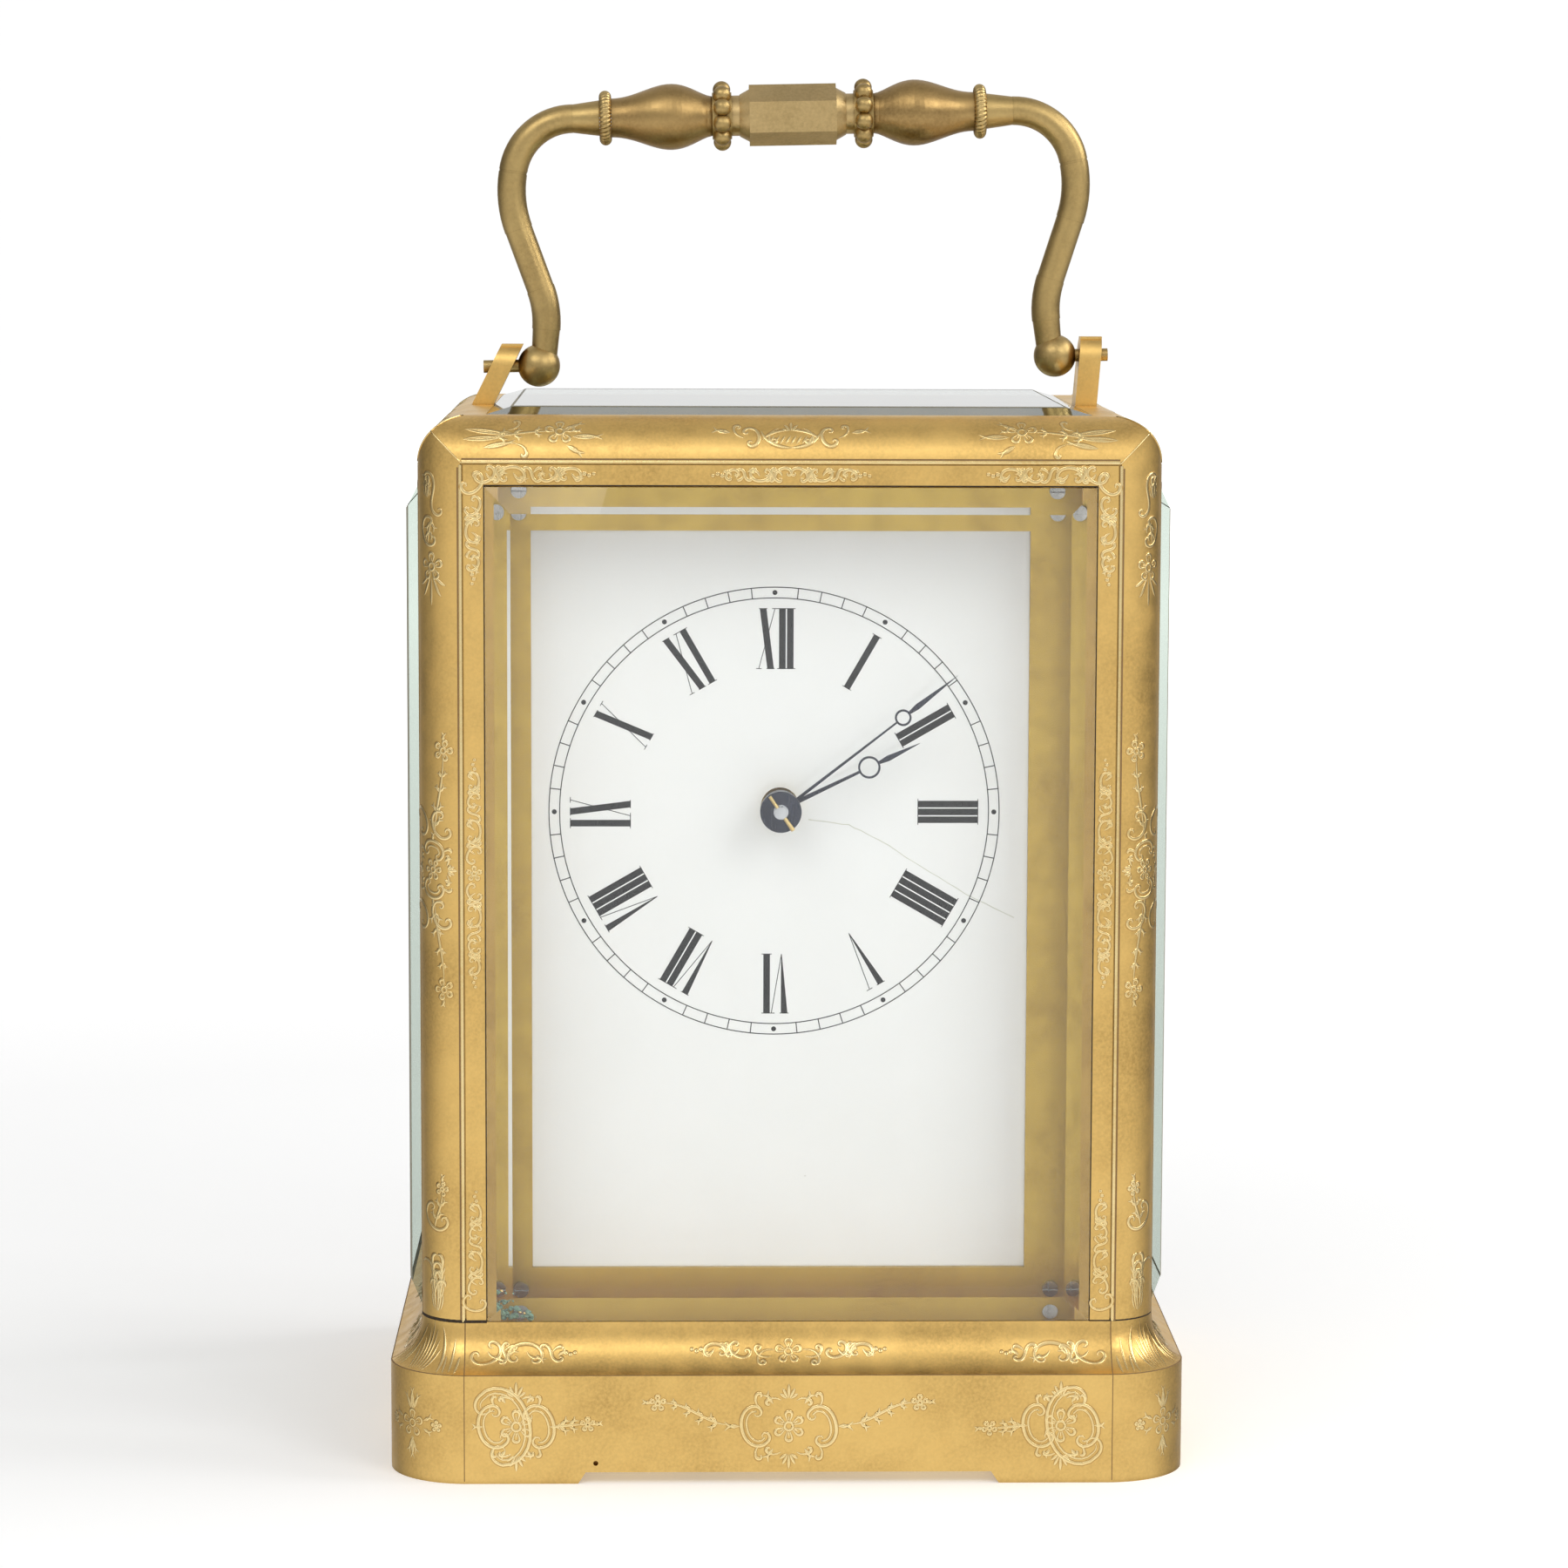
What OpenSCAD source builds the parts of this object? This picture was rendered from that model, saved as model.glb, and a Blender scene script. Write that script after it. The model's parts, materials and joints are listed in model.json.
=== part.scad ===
// Carriage clock: one-piece gilt case, eight-day timepiece movement with platform lever escapement.
// X runs to the right seen from the front, Y runs to the back, Z is up.
// The origin is the middle of the base.

/* [Case] */
// Width of the base over the plinth
base_w = 96; // [90:1:104]
// Depth of the base over the plinth
base_d = 84; // [82:1:92]
// Height of the upright plinth face
plinth_h = 13.2; // [11:0.1:15]
// Height of the hollow moulding between plinth and posts
cove_h = 5.7; // [4:0.1:7]
// How far the plinth stands out beyond the posts
overhang = 3.8; // [3:0.1:5]
// Height of the case top above the table
case_top = 127.3; // [124:0.1:134]
// Radius of the quarter round on posts and top moulding
edge_r = 5.4; // [4:0.1:6]
// Width of the flat band around each window
band_w = 2.6; // [2:0.1:4]
// Thickness of the case walls
wall = 3.4; // [2.5:0.1:4]
// Height of the cut-out that leaves a foot at each corner
foot_h = 1.4; // [1:0.1:2]

/* [Glass] */
// Width of the bevel around each glass
bevel_w = 3.1; // [2:0.1:4]
// How far the front glass stands proud
front_proud = 1.2; // [0.6:0.1:1.6]
// How far the side glasses stand proud
side_proud = 1.7; // [1:0.1:2]
// How far the top glass stands proud
top_proud = 0.9; // [0.5:0.1:1.2]

/* [Handle] */
// Half the distance between the two ball ends
ball_x = 32.3; // [30:0.1:34]
// Radius of the ball ends
ball_r = 2.65; // [2.2:0.05:2.8]
// Height of the hinge axis
hinge_z = 132.8; // [132.4:0.1:136]
// Sideways offset of the handle's middle
hinge_x = 1.6; // [0:0.1:2]
// Lean of the hinge axis, in degrees
hinge_tilt = 1.24; // [0:0.01:1.5]
// Height of the grip axis above the hinge
grip_h = 30.5; // [28:0.5:32]

/* [Dial] */
// Width of the enamel showing in the mask
dial_w = 60.4; // [58:0.1:62]
// Lower edge of the enamel showing
dial_z0 = 22.5; // [21:0.1:24]
// Upper edge of the enamel showing
dial_z1 = 113.1; // [111:0.1:115]
// Front face of the dial
dial_y = -22; // [-24:0.5:-21]

/* [Movement] */
// Sideways place of the centre arbor
arbor_x = -0.9; // [-2:0.1:0]
// Height of the centre arbor
arbor_z = 79.5; // [78:0.1:81]
// Thickness of the movement plates
plate_t = 2.2; // [1.8:0.1:2.5]
// Length of the minute hand
minute_len = 26.9; // [24:0.1:28]
// Length of the hour hand
hour_len = 18.7; // [16:0.1:20]

/* [Hidden] */
$fn = 64;
EPS = 0.02;
GAP = 0.3;
RUN = 0.04;
case_w = base_w - 2 * overhang;
case_d = base_d - 2 * overhang;
half_w = case_w / 2;
half_d = case_d / 2;
joint_z = plinth_h + cove_h;
open_x = half_w - edge_r - band_w;
open_y = half_d - edge_r - band_w;
open_z = case_top - edge_r - band_w;
in_x = half_w - wall;
in_y = half_d - wall;
crease = 0.6;
base_r = edge_r + overhang;
floor_z = 16;
floor_t = 3;
groove_w = 0.35;
glass_gap = 0.1;
strip_t = 0.8;
strip_lap = 1.6;
// axis of the rear door's hinge in plan, and the radius of its rounded edge
hinge_door = [34.2, 36.4];
door_r = 1.7;
// movement planes along Y
front_y = -14.5;
front_in = front_y + plate_t;
back_in = 17;
back_y = back_in + plate_t;
plate_half = 31;
plate_top = 104;
shake = 0.2;
pivot_r = 0.4;
// arbor places around the centre arbor
centre_p = [arbor_x, arbor_z];
inter_p = centre_p + [-8.5, -11.474];
barrel_p = inter_p + [6, -18.365];
third_p = centre_p + [10.005, 8.611];
contrate_p = centre_p + [0, 13.3];
minute_p = centre_p + [0, -6];
// tooth counts and modules
barrel_n = 80;
barrel_m = 0.42;
inter_pn = 12;
inter_n = 72;
inter_m = 0.34;
centre_pn = 12;
centre_n = 80;
centre_m = 0.30;
third_pn = 8;
third_n = 75;
third_m = 0.26;
contrate_pn = 10;
contrate_n = 64;
contrate_m = 0.24;
escape_pn = 8;
escape_n = 15;
cannon_n = 12;
minute_n = 36;
minute_m = 0.25;
minute_pn = 10;
hour_n = 40;
hour_m = 0.24;
// platform places in plan
platform_t = 1.4;
platform_top = plate_top + platform_t;
escape_xy = [arbor_x, -4];
lever_xy = escape_xy + [0, 4.6];
balance_xy = lever_xy + [0, 7.4];
balance_r = 7.6;
potence_z = 95;
// time shown: nine minutes past two
minute_deg = 52.2;
hour_deg = 64.35;
corner_screws = [[-32.5, 19.9], [32.5, 19.9], [-32.5, 115.3], [32.5, 115.3]];
pillar_places = [[arbor_x - 27, 18.9], [arbor_x + 27, 18.9], [arbor_x - 27, 99], [arbor_x + 27, 99]];
gilt = [0.85, 0.66, 0.30];
old_gilt = [0.66, 0.53, 0.26];
brass = [0.80, 0.66, 0.34];
steel = [0.62, 0.64, 0.68];
blued = [0.10, 0.11, 0.16];
enamel = [0.95, 0.95, 0.93];
clear_glass = [0.80, 0.92, 0.90, 0.35];

// ---------- helpers ----------

// A flat shape in X and Z, thickened from y0 to y1
module between_y(y0, y1) {
  translate([0, y1, 0]) rotate([90, 0, 0]) linear_extrude(y1 - y0) children();
}

// A round bar along Y at place p
module bar_y(p, y0, y1, r) {
  translate([p[0], y1, p[1]]) rotate([90, 0, 0]) cylinder(h = y1 - y0, r = r);
}

// A round bar along Z at place p
module bar_z(p, z0, z1, r) {
  translate([p[0], p[1], z0]) cylinder(h = z1 - z0, r = r);
}

// One rounded corner of a plan outline, meeting the flats at a slight crease
module corner_sector(r) {
  intersection() {
    square([r, r]);
    translate([-crease, -crease]) circle(r = norm([crease, r + crease]));
  }
}

// Plan outline with four rounded corners
module plan(hx, hy, r) {
  square([2 * hx, 2 * (hy - r)], center = true);
  square([2 * (hx - r), 2 * hy], center = true);
  for (sx = [0, 1], sy = [0, 1])
    mirror([sx, 0]) mirror([0, sy]) translate([hx - r, hy - r]) corner_sector(r);
}

// Upright outline, rounded only at its two top corners, from z0 to the case top
module arch(hx, z0) {
  translate([-hx, z0]) square([2 * hx, case_top - edge_r - z0]);
  translate([-(hx - edge_r), z0]) square([2 * (hx - edge_r), case_top - z0]);
  for (sx = [0, 1])
    mirror([sx, 0]) translate([hx - edge_r, case_top - edge_r]) corner_sector(edge_r);
}

// A plate of glass w by h lying in X and Y, bevelled on its upper edges, with a total thickness of t
module bevelled_glass(w, h, t, drop) {
  function section(a) = [[-a, 0], [a, 0], [a, t - drop], [a - bevel_w, t], [bevel_w - a, t],
    [-a, t - drop]];
  intersection() {
    translate([0, h / 2, 0]) rotate([90, 0, 0]) linear_extrude(h) polygon(section(w / 2));
    translate([-w / 2, 0, 0]) rotate([90, 0, 90]) linear_extrude(w) polygon(section(h / 2));
  }
}

// Outline of a spur wheel or pinion. Widths are shares of the pitch at root and tip.
module gear_outline(n, m, phase, addendum, dedendum, root_w, tip_w) {
  pitch = 360 / n;
  r_root = n * m / 2 - dedendum * m;
  r_tip = n * m / 2 + addendum * m;
  corners = [[r_root, -root_w / 2], [r_tip, -tip_w / 2], [r_tip, tip_w / 2], [r_root, root_w / 2]];
  polygon([for (i = [0:n - 1], c = corners)
    c[0] * [cos(phase + (i + c[1]) * pitch), sin(phase + (i + c[1]) * pitch)]]);
}

module wheel_outline(n, m, phase) {
  gear_outline(n, m, phase, 0.95, 1.25, 0.62, 0.20);
}

module pinion_outline(n, m, phase) {
  gear_outline(n, m, phase, 0.65, 1.35, 0.46, 0.20);
}

// Turn of a driven wheel so that its gap meets a tooth of the driver
function direction(a, b) = atan2(b[1] - a[1], b[0] - a[0]);
function mesh_turn(a0, phi, n1, n2) = phi + 180 - n1 / n2 * (a0 - phi) + 180 / n2;

// A crossed-out train wheel with arms, bored for its arbor
module train_wheel(p, y0, y1, n, m, phase, arms, bore) {
  r_in = n * m / 2 - 2.6 * m - 0.4;
  hub = bore + 1.3;
  translate([p[0], 0, p[1]]) difference() {
    between_y(y0, y1) wheel_outline(n, m, phase);
    bar_y([0, 0], y0 - 1, y1 + 1, bore);
    between_y(y0 - 1, y1 + 1) difference() {
      circle(r = r_in);
      circle(r = hub);
      for (i = [0:arms - 1]) rotate(i * 360 / arms) translate([0, -0.55]) square([r_in + 1, 1.1]);
    }
  }
}

// A steel arbor between the plates, with a pinion and two pivots
module pinion_arbor(p, r, pn, pm, phase, py0, py1) {
  translate([p[0], 0, p[1]]) {
    bar_y([0, 0], front_in + shake, back_in - shake, r);
    bar_y([0, 0], front_y - 0.1, back_y + 0.1, pivot_r);
    between_y(py0, py1) pinion_outline(pn, pm, phase);
  }
}

// ---------- base ----------

// The hollow moulding is a quarter-like sweep of this radius, cut from the block above the plinth
cove_r = (pow(overhang, 2) + pow(cove_h, 2)) / (2 * overhang);
cove_out = cove_r - overhang;

module cove_cuts() {
  for (s = [-1, 1]) {
    translate([-(base_w / 2 - base_r), s * (base_d / 2 + cove_out), joint_z]) rotate([0, 90, 0])
      cylinder(h = base_w - 2 * base_r, r = cove_r);
    translate([s * (base_w / 2 + cove_out), base_d / 2 - base_r, joint_z]) rotate([90, 0, 0])
      cylinder(h = base_d - 2 * base_r, r = cove_r);
  }
  for (sx = [0, 1], sy = [0, 1]) mirror([sx, 0, 0]) mirror([0, sy, 0])
    intersection() {
      translate([base_w / 2 - base_r - crease, base_d / 2 - base_r - crease, joint_z])
        rotate_extrude() translate([norm([crease, base_r + crease]) + cove_out, 0]) circle(r = cove_r);
      translate([base_w / 2 - base_r, base_d / 2 - base_r, 0]) cube([30, 30, 60]);
    }
}

// the gap under the base between two corner feet, with slanted ends
module foot_gap(half, depth) {
  slant = 0.9;
  rotate([90, 0, 0]) linear_extrude(depth, center = true)
    polygon([[-half, -1], [half, -1], [half, 0], [half - slant, foot_h], [slant - half, foot_h],
      [-half, 0]]);
}

module plinth() {
  foot_x = 25.2;
  foot_y = 20;
  color(gilt) difference() {
    linear_extrude(joint_z) plan(base_w / 2, base_d / 2, base_r);
    cove_cuts();
    // hollow underside and the recess that takes dial mask and glasses
    translate([-40, -34, -1]) cube([80, 68, 1 + floor_z - floor_t]);
    translate([-37, -31.5, floor_z]) cube([74, 63, 10]);
    // cut-outs between the corner feet
    foot_gap(foot_x, 100);
    rotate(90) foot_gap(foot_y, 120);
    bar_y([-foot_x + 2.1, 2.5], -base_d, -base_d / 2 + 1.2, 0.3);
    for (s = [-1, 1]) bar_z([s * 24, 2], 10, 20, 1.15);
    bar_z([hinge_door[0], hinge_door[1]], floor_z, 30, 0.6 + RUN);
  }
  // lugs on the floor that carry the lower mask screws
  color(gilt) for (s = [-1, 1]) difference() {
    translate([s * 33 - 2, dial_y, floor_z]) cube([4, 3.6, 5.6]);
    bar_y([s * 32.5, corner_screws[0][1]], dial_y - 1, dial_y + 3, 0.6);
  }
}

module bottom_plate() {
  color(brass) difference() {
    translate([-39.9, -33.9, 2]) cube([79.8, 67.8, 1]);
    for (s = [-1, 1]) bar_z([s * 24, 2], 0, 5, 2.4);
  }
}

// ---------- case ----------

module case_shell() {
  intersection() {
    translate([0, 0, joint_z]) linear_extrude(case_top - joint_z) plan(half_w, half_d, edge_r);
    between_y(-half_d, half_d) arch(half_w, joint_z);
    translate([-half_w, 0, 0]) rotate([90, 0, 90]) linear_extrude(case_w) arch(half_d, joint_z);
  }
}

module case_grooves() {
  d = 0.3;
  gx = half_w - edge_r;
  gy = half_d - edge_r;
  gz = case_top - edge_r;
  h = gz - joint_z + 1 + groove_w / 2;
  for (sx = [-1, 1], sy = [-1, 1]) {
    translate([sx * gx - groove_w / 2, sy * half_d - d, joint_z - 1]) cube([groove_w, 2 * d, h]);
    translate([sx * half_w - d, sy * gy - groove_w / 2, joint_z - 1]) cube([2 * d, groove_w, h]);
  }
  for (s = [-1, 1]) {
    translate([-gx - groove_w / 2, s * half_d - d, gz - groove_w / 2])
      cube([2 * gx + groove_w, 2 * d, groove_w]);
    translate([s * half_w - d, -gy - groove_w / 2, gz - groove_w / 2])
      cube([2 * d, 2 * gy + groove_w, groove_w]);
  }
}

module case_frame() {
  color(gilt) difference() {
    case_shell();
    case_grooves();
    // the room for the movement
    translate([-in_x, -in_y, 0]) cube([2 * in_x, 2 * in_y, case_top - wall]);
    // windows: front and back, sides, top
    translate([-open_x, -60, 0]) cube([2 * open_x, 120, open_z]);
    translate([-60, -open_y, 0]) cube([120, 2 * open_y, open_z]);
    translate([-open_x, -open_y, 100]) cube([2 * open_x, 2 * open_y, 60]);
    bar_z(hinge_door, 100, open_z + 2.6, 0.6 + RUN);
  }
  // lugs that carry the upper mask screws
  color(gilt) for (s = [-1, 1]) difference() {
    translate([s * 34.6 - 3.6, dial_y, 113.9]) cube([7.2, 3.6, case_top - wall - 113.9]);
    translate([-open_x, -open_y, 122]) cube([2 * open_x, 2 * open_y, 60]);
    bar_y([s * 32.5, corner_screws[2][1]], dial_y - 1, dial_y + 3, 0.6);
  }
}

module front_glass() {
  h = open_z - joint_z - 0.3;
  t = wall + front_proud - glass_gap;
  color(clear_glass) translate([0, -half_d - front_proud + t, joint_z + 0.1 + h / 2])
    rotate([90, 0, 0]) bevelled_glass(2 * open_x - 0.1, h, t, front_proud);
}

module side_glasses() {
  h = open_z - joint_z - 0.3;
  t = wall + side_proud - glass_gap;
  color(clear_glass) for (s = [0, 1]) mirror([s, 0, 0])
    translate([half_w + side_proud - t, 0, joint_z + 0.1 + h / 2]) rotate([0, 0, 90]) rotate([90, 0, 0])
      bevelled_glass(2 * open_y - 0.1, h, t, side_proud);
}

module top_glass() {
  t = wall + top_proud - glass_gap;
  color(clear_glass) translate([0, 0, case_top + top_proud - t])
    bevelled_glass(2 * open_x - 0.1, 2 * open_y - 0.1, t, top_proud);
}

// Gilt strips that hold the glasses, on the right of the case
module strips_right() {
  h = case_top - wall - joint_z - strip_t - 3 * EPS;
  side_y = in_y - open_y + strip_lap - strip_t - 2 * EPS;
  front_w = in_x - open_x + strip_lap - EPS;
  translate([in_x - EPS - front_w, -in_y + EPS, joint_z + EPS]) cube([front_w, strip_t, h]);
  for (r = [0, 1]) mirror([0, r, 0])
    translate([in_x - EPS - strip_t, open_y - strip_lap, joint_z + EPS]) cube([strip_t, side_y, h]);
  translate([open_x - strip_lap, -open_y, case_top - wall - EPS - strip_t])
    cube([in_x - open_x + strip_lap - 2 * EPS, 2 * open_y, strip_t]);
}

module glass_strips() {
  color(gilt) for (s = [0, 1]) mirror([s, 0, 0]) difference() {
    strips_right();
    // room for the lugs of the mask screws
    translate([open_x - 6, dial_y - GAP, case_top - wall - 2]) cube([10, 3.6 + 2 * GAP, 4]);
  }
}

// ---------- rear door ----------

door_x0 = -open_x + GAP;
door_z0 = joint_z + GAP;
door_z1 = open_z - GAP;
door_bar = 5;

module door_frame() {
  wx = 2 * (open_x - GAP) - 2 * door_bar;
  color(gilt) difference() {
    union() {
      translate([door_x0, hinge_door[1] - door_r, door_z0])
        cube([hinge_door[0] - door_x0, 2 * door_r, door_z1 - door_z0]);
      bar_z(hinge_door, door_z0, door_z1, door_r);
    }
    translate([door_x0 + door_bar, 20, door_z0 + door_bar])
      cube([wx, 30, door_z1 - door_z0 - 2 * door_bar]);
    bar_z(hinge_door, door_z0 - 1, door_z0 + 3, 0.6);
    bar_z(hinge_door, door_z1 - 3, door_z1 + 1, 0.6);
    bar_y([door_x0 + 2.5, 69], 30, 40, 0.9);
  }
}

module door_glass() {
  w = 2 * (open_x - GAP) - 2 * door_bar - 0.1;
  h = door_z1 - door_z0 - 2 * door_bar - 0.1;
  color(clear_glass) translate([0, hinge_door[1] - 0.9, (door_z0 + door_z1) / 2]) rotate([-90, 0, 0])
    bevelled_glass(w, h, 3.2, 1.0);
}

module door_pins() {
  color(steel) {
    bar_z(hinge_door, floor_z + 0.6, door_z0 + 3, 0.6);
    bar_z(hinge_door, door_z1 - 3, open_z + 2.2, 0.6);
  }
}

module door_knob() {
  color(gilt) {
    bar_y([door_x0 + 2.5, 69], hinge_door[1] - door_r, 38.8, 0.9);
    translate([door_x0 + 2.5, 38.1, 69]) rotate([-90, 0, 0]) rotate_extrude()
      polygon([[0, 0], [1.7, 0], [1.7, 0.4], [0.95, 0.8], [0.95, 1.5], [1.8, 2.2], [1.9, 2.8],
        [1.4, 3.4], [0, 3.6]]);
  }
}

// ---------- dial and hands ----------

module dial_mask() {
  color(gilt) difference() {
    translate([-open_x, dial_y - 1, 17]) cube([2 * open_x, 1 - EPS, 102]);
    translate([arbor_x - dial_w / 2, dial_y - 3, dial_z0]) cube([dial_w, 6, dial_z1 - dial_z0]);
    for (p = corner_screws) bar_y(p, dial_y - 5, dial_y + 5, 0.6);
  }
}

module mask_screws() {
  color(steel) for (p = corner_screws) difference() {
    union() {
      bar_y(p, dial_y - 1.8, dial_y - 1, 0.95);
      bar_y(p, dial_y - 1.2, dial_y + 2.5, 0.6);
    }
    translate([p[0] - 2, dial_y - 2, p[1] - 0.13]) cube([4, 0.5, 0.26]);
  }
}

module dial() {
  edge = 0.5;
  color(enamel) difference() {
    translate([arbor_x - dial_w / 2 - edge, dial_y, dial_z0 - edge])
      cube([dial_w + 2 * edge, 1.3, dial_z1 - dial_z0 + 2 * edge]);
    bar_y(centre_p, dial_y - 1, dial_y + 5, 2.3);
  }
  // copper feet behind the enamel, pinned through the front plate
  color("peru") for (p = [[-22, 30], [22, 30], [0, 108]])
    bar_y([arbor_x + p[0], p[1] - 6], dial_y + 1.3, front_in + 0.8, 0.8);
}

// A hand pointing along +X: boss, shank, open ring and lance
module hand_outline(boss, ring_at, ring_r, tip_at, shank_w) {
  line = 0.24;
  circle(r = boss);
  polygon([[0, -shank_w], [ring_at - ring_r + 0.1, -shank_w / 2],
    [ring_at - ring_r + 0.1, shank_w / 2], [0, shank_w]]);
  translate([ring_at, 0]) difference() {
    circle(r = ring_r);
    circle(r = ring_r - line);
  }
  polygon([[ring_at + ring_r - 0.1, -0.16], [ring_at + ring_r + 1.2, -0.34], [tip_at, 0],
    [ring_at + ring_r + 1.2, 0.34],
           [ring_at + ring_r - 0.1, 0.16]]);
}

module minute_hand() {
  color(blued) translate([centre_p[0], 0, centre_p[1]]) difference() {
    union() {
      between_y(-27.6, -27.2) rotate(90 - minute_deg) hand_outline(2.4, 18.6, 1.0, minute_len, 0.2);
      bar_y([0, 0], -28.1, -26.9, 2.5);
    }
    bar_y([0, 0], -30, -20, cannon_r - 0.35);
  }
}

module hour_hand() {
  color(blued) translate([centre_p[0], 0, centre_p[1]]) difference() {
    union() {
      between_y(-25.6, -25.2) rotate(90 - hour_deg) hand_outline(2.3, 11.9, 1.35, hour_len, 0.3);
      bar_y([0, 0], -25.8, -24.6, 2.3);
    }
    bar_y([0, 0], -30, -20, hour_pipe_r);
  }
}

module taper_pin() {
  color(brass) translate([centre_p[0], -28.75, centre_p[1]]) rotate([0, 55.3, 0]) translate([-2.4, 0, 0])
    rotate([0, 90, 0]) cylinder(h = 5, r1 = 0.2, r2 = 0.26);
}

// ---------- motion work ----------

cannon_r = 1.25;
hour_pipe_r = 1.95;
post_r = 0.6;

module cannon_pinion() {
  color(steel) translate([centre_p[0], 0, centre_p[1]]) difference() {
    union() {
      between_y(-16.2, -15.0) pinion_outline(cannon_n, minute_m, cannon_turn);
      bar_y([0, 0], -26.9, -15.1, cannon_r);
      bar_y([0, 0], -28.1, -26.9, cannon_r - 0.35);
    }
    bar_y([0, 0], -30, -14, 0.75);
  }
}

module minute_wheel() {
  color(brass) translate([minute_p[0], 0, minute_p[1]]) difference() {
    union() {
      between_y(-16.1, -15.3) wheel_outline(minute_n, minute_m, minute_turn);
      between_y(-18.3, -16.0) pinion_outline(minute_pn, hour_m, 0);
    }
    bar_y([0, 0], -20, -14, post_r + RUN);
  }
}

module hour_wheel() {
  color(brass) translate([centre_p[0], 0, centre_p[1]]) difference() {
    union() {
      between_y(-18.0, -17.2) wheel_outline(hour_n, hour_m, hour_turn);
      bar_y([0, 0], -25.9, -17.3, hour_pipe_r);
    }
    bar_y([0, 0], -30, -14, cannon_r + 0.06);
  }
}

// ---------- going train ----------

// each wheel's turn at rest, worked out from the wheel that it meets
centre_turn = 0;
third_turn = mesh_turn(centre_turn, direction(centre_p, third_p), centre_n, third_pn);
contrate_turn = mesh_turn(0, direction(third_p, contrate_p), third_n, contrate_pn);
inter_turn = 0;
centre_pinion_turn = mesh_turn(inter_turn, direction(inter_p, centre_p), inter_n, centre_pn);
barrel_turn = 0;
inter_pinion_turn = mesh_turn(barrel_turn, direction(barrel_p, inter_p), barrel_n, inter_pn);
minute_turn = 0;
cannon_turn = mesh_turn(minute_turn, direction(minute_p, centre_p), minute_n, cannon_n);
hour_turn = mesh_turn(0, direction(minute_p, centre_p), minute_pn, hour_n);
crown_turn = 90;
crown_r = contrate_n * contrate_m / 2;

module centre_arbor() {
  r = 0.75;
  color(steel) {
    pinion_arbor(centre_p, r, centre_pn, inter_m, centre_pinion_turn, -11.4, -8.4);
    difference() {
      bar_y(centre_p, -29.2, front_in, r);
      translate([centre_p[0], -28.75, centre_p[1]]) rotate([0, 55.3, 0]) translate([-2.4, 0, 0])
        rotate([0, 90, 0]) cylinder(h = 5, r1 = 0.2, r2 = 0.26);
    }
    translate([centre_p[0] - 0.5, back_in, centre_p[1] - 0.5]) cube([1, 7, 1]);
  }
}

module centre_wheel() {
  color(brass) train_wheel(centre_p, 10, 11, centre_n, centre_m, centre_turn, 5, 0.75);
}

module intermediate_wheel() {
  color(brass) train_wheel(inter_p, -10.4, -9.4, inter_n, inter_m, inter_turn, 5, 0.8);
}

module intermediate_arbor() {
  color(steel) pinion_arbor(inter_p, 0.8, inter_pn, barrel_m, inter_pinion_turn, -8.6, -4.2);
}

module third_wheel() {
  color(brass) train_wheel(third_p, 4, 4.8, third_n, third_m, 0, 4, 0.6);
}

module third_arbor() {
  color(steel) pinion_arbor(third_p, 0.6, third_pn, centre_m, third_turn, 8.6, 12.4);
}

module contrate_wheel() {
  tooth_deg = 2.3;
  color(brass) translate([contrate_p[0], 0, contrate_p[1]]) {
    difference() {
      bar_y([0, 0], -2.5, -0.9, crown_r + 0.4);
      bar_y([0, 0], -3.5, -1.5, crown_r - 0.5);
      bar_y([0, 0], -3.5, 0, 0.55);
      between_y(-2, 0) difference() {
        circle(r = crown_r - 1.2);
        circle(r = 1.8);
        for (i = [0:3]) rotate(i * 90) translate([0, -0.5]) square([crown_r, 1]);
      }
    }
    between_y(-3.26, -2.45) for (i = [0:contrate_n - 1]) rotate(crown_turn + i * 360 / contrate_n)
      polygon([for (c = [[-0.45, -1], [0.35, -1], [0.35, 1], [-0.45, 1]])
               (crown_r + c[0]) * [cos(c[1] * tooth_deg / 2), sin(c[1] * tooth_deg / 2)]]);
  }
}

module contrate_arbor() {
  color(steel) pinion_arbor(contrate_p, 0.55, contrate_pn, third_m, contrate_turn, 2.6, 6.4);
}

// ---------- barrel ----------

module barrel_drum() {
  color(brass) translate([barrel_p[0], 0, barrel_p[1]]) difference() {
    union() {
      between_y(-7, -5.2) wheel_outline(barrel_n, barrel_m, barrel_turn);
      bar_y([0, 0], -7, 13, 15.4);
    }
    bar_y([0, 0], -6, 11.9, 14.4);
    bar_y([0, 0], 11, 14, 14.7);
    bar_y([0, 0], -8, 14, 1.8 + RUN);
  }
}

module barrel_cover() {
  color(brass) translate([barrel_p[0], 0, barrel_p[1]]) difference() {
    bar_y([0, 0], 11.95, 13.1, 14.7);
    bar_y([0, 0], 11, 14, 1.8 + RUN);
  }
}

// The mainspring is a flat strip wound from the arbor out to the barrel wall
module mainspring() {
  turns = 9;
  steps = 22;
  r0 = 3.3;
  r1 = 14.1;
  strip = 0.35;
  function radius(t) = r0 + (r1 - r0 - strip) * t / turns;
  function along(off) = [for (i = [0:turns * steps]) (radius(i / steps) + off)
    * [cos(i * 360 / steps), sin(i * 360 / steps)]];
  outer = along(strip);
  color(steel) translate([barrel_p[0], 0, barrel_p[1]]) between_y(-5.6, 11.6)
    polygon(concat(along(0), [for (i = [len(outer) - 1:-1:0]) outer[i]]));
}

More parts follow.
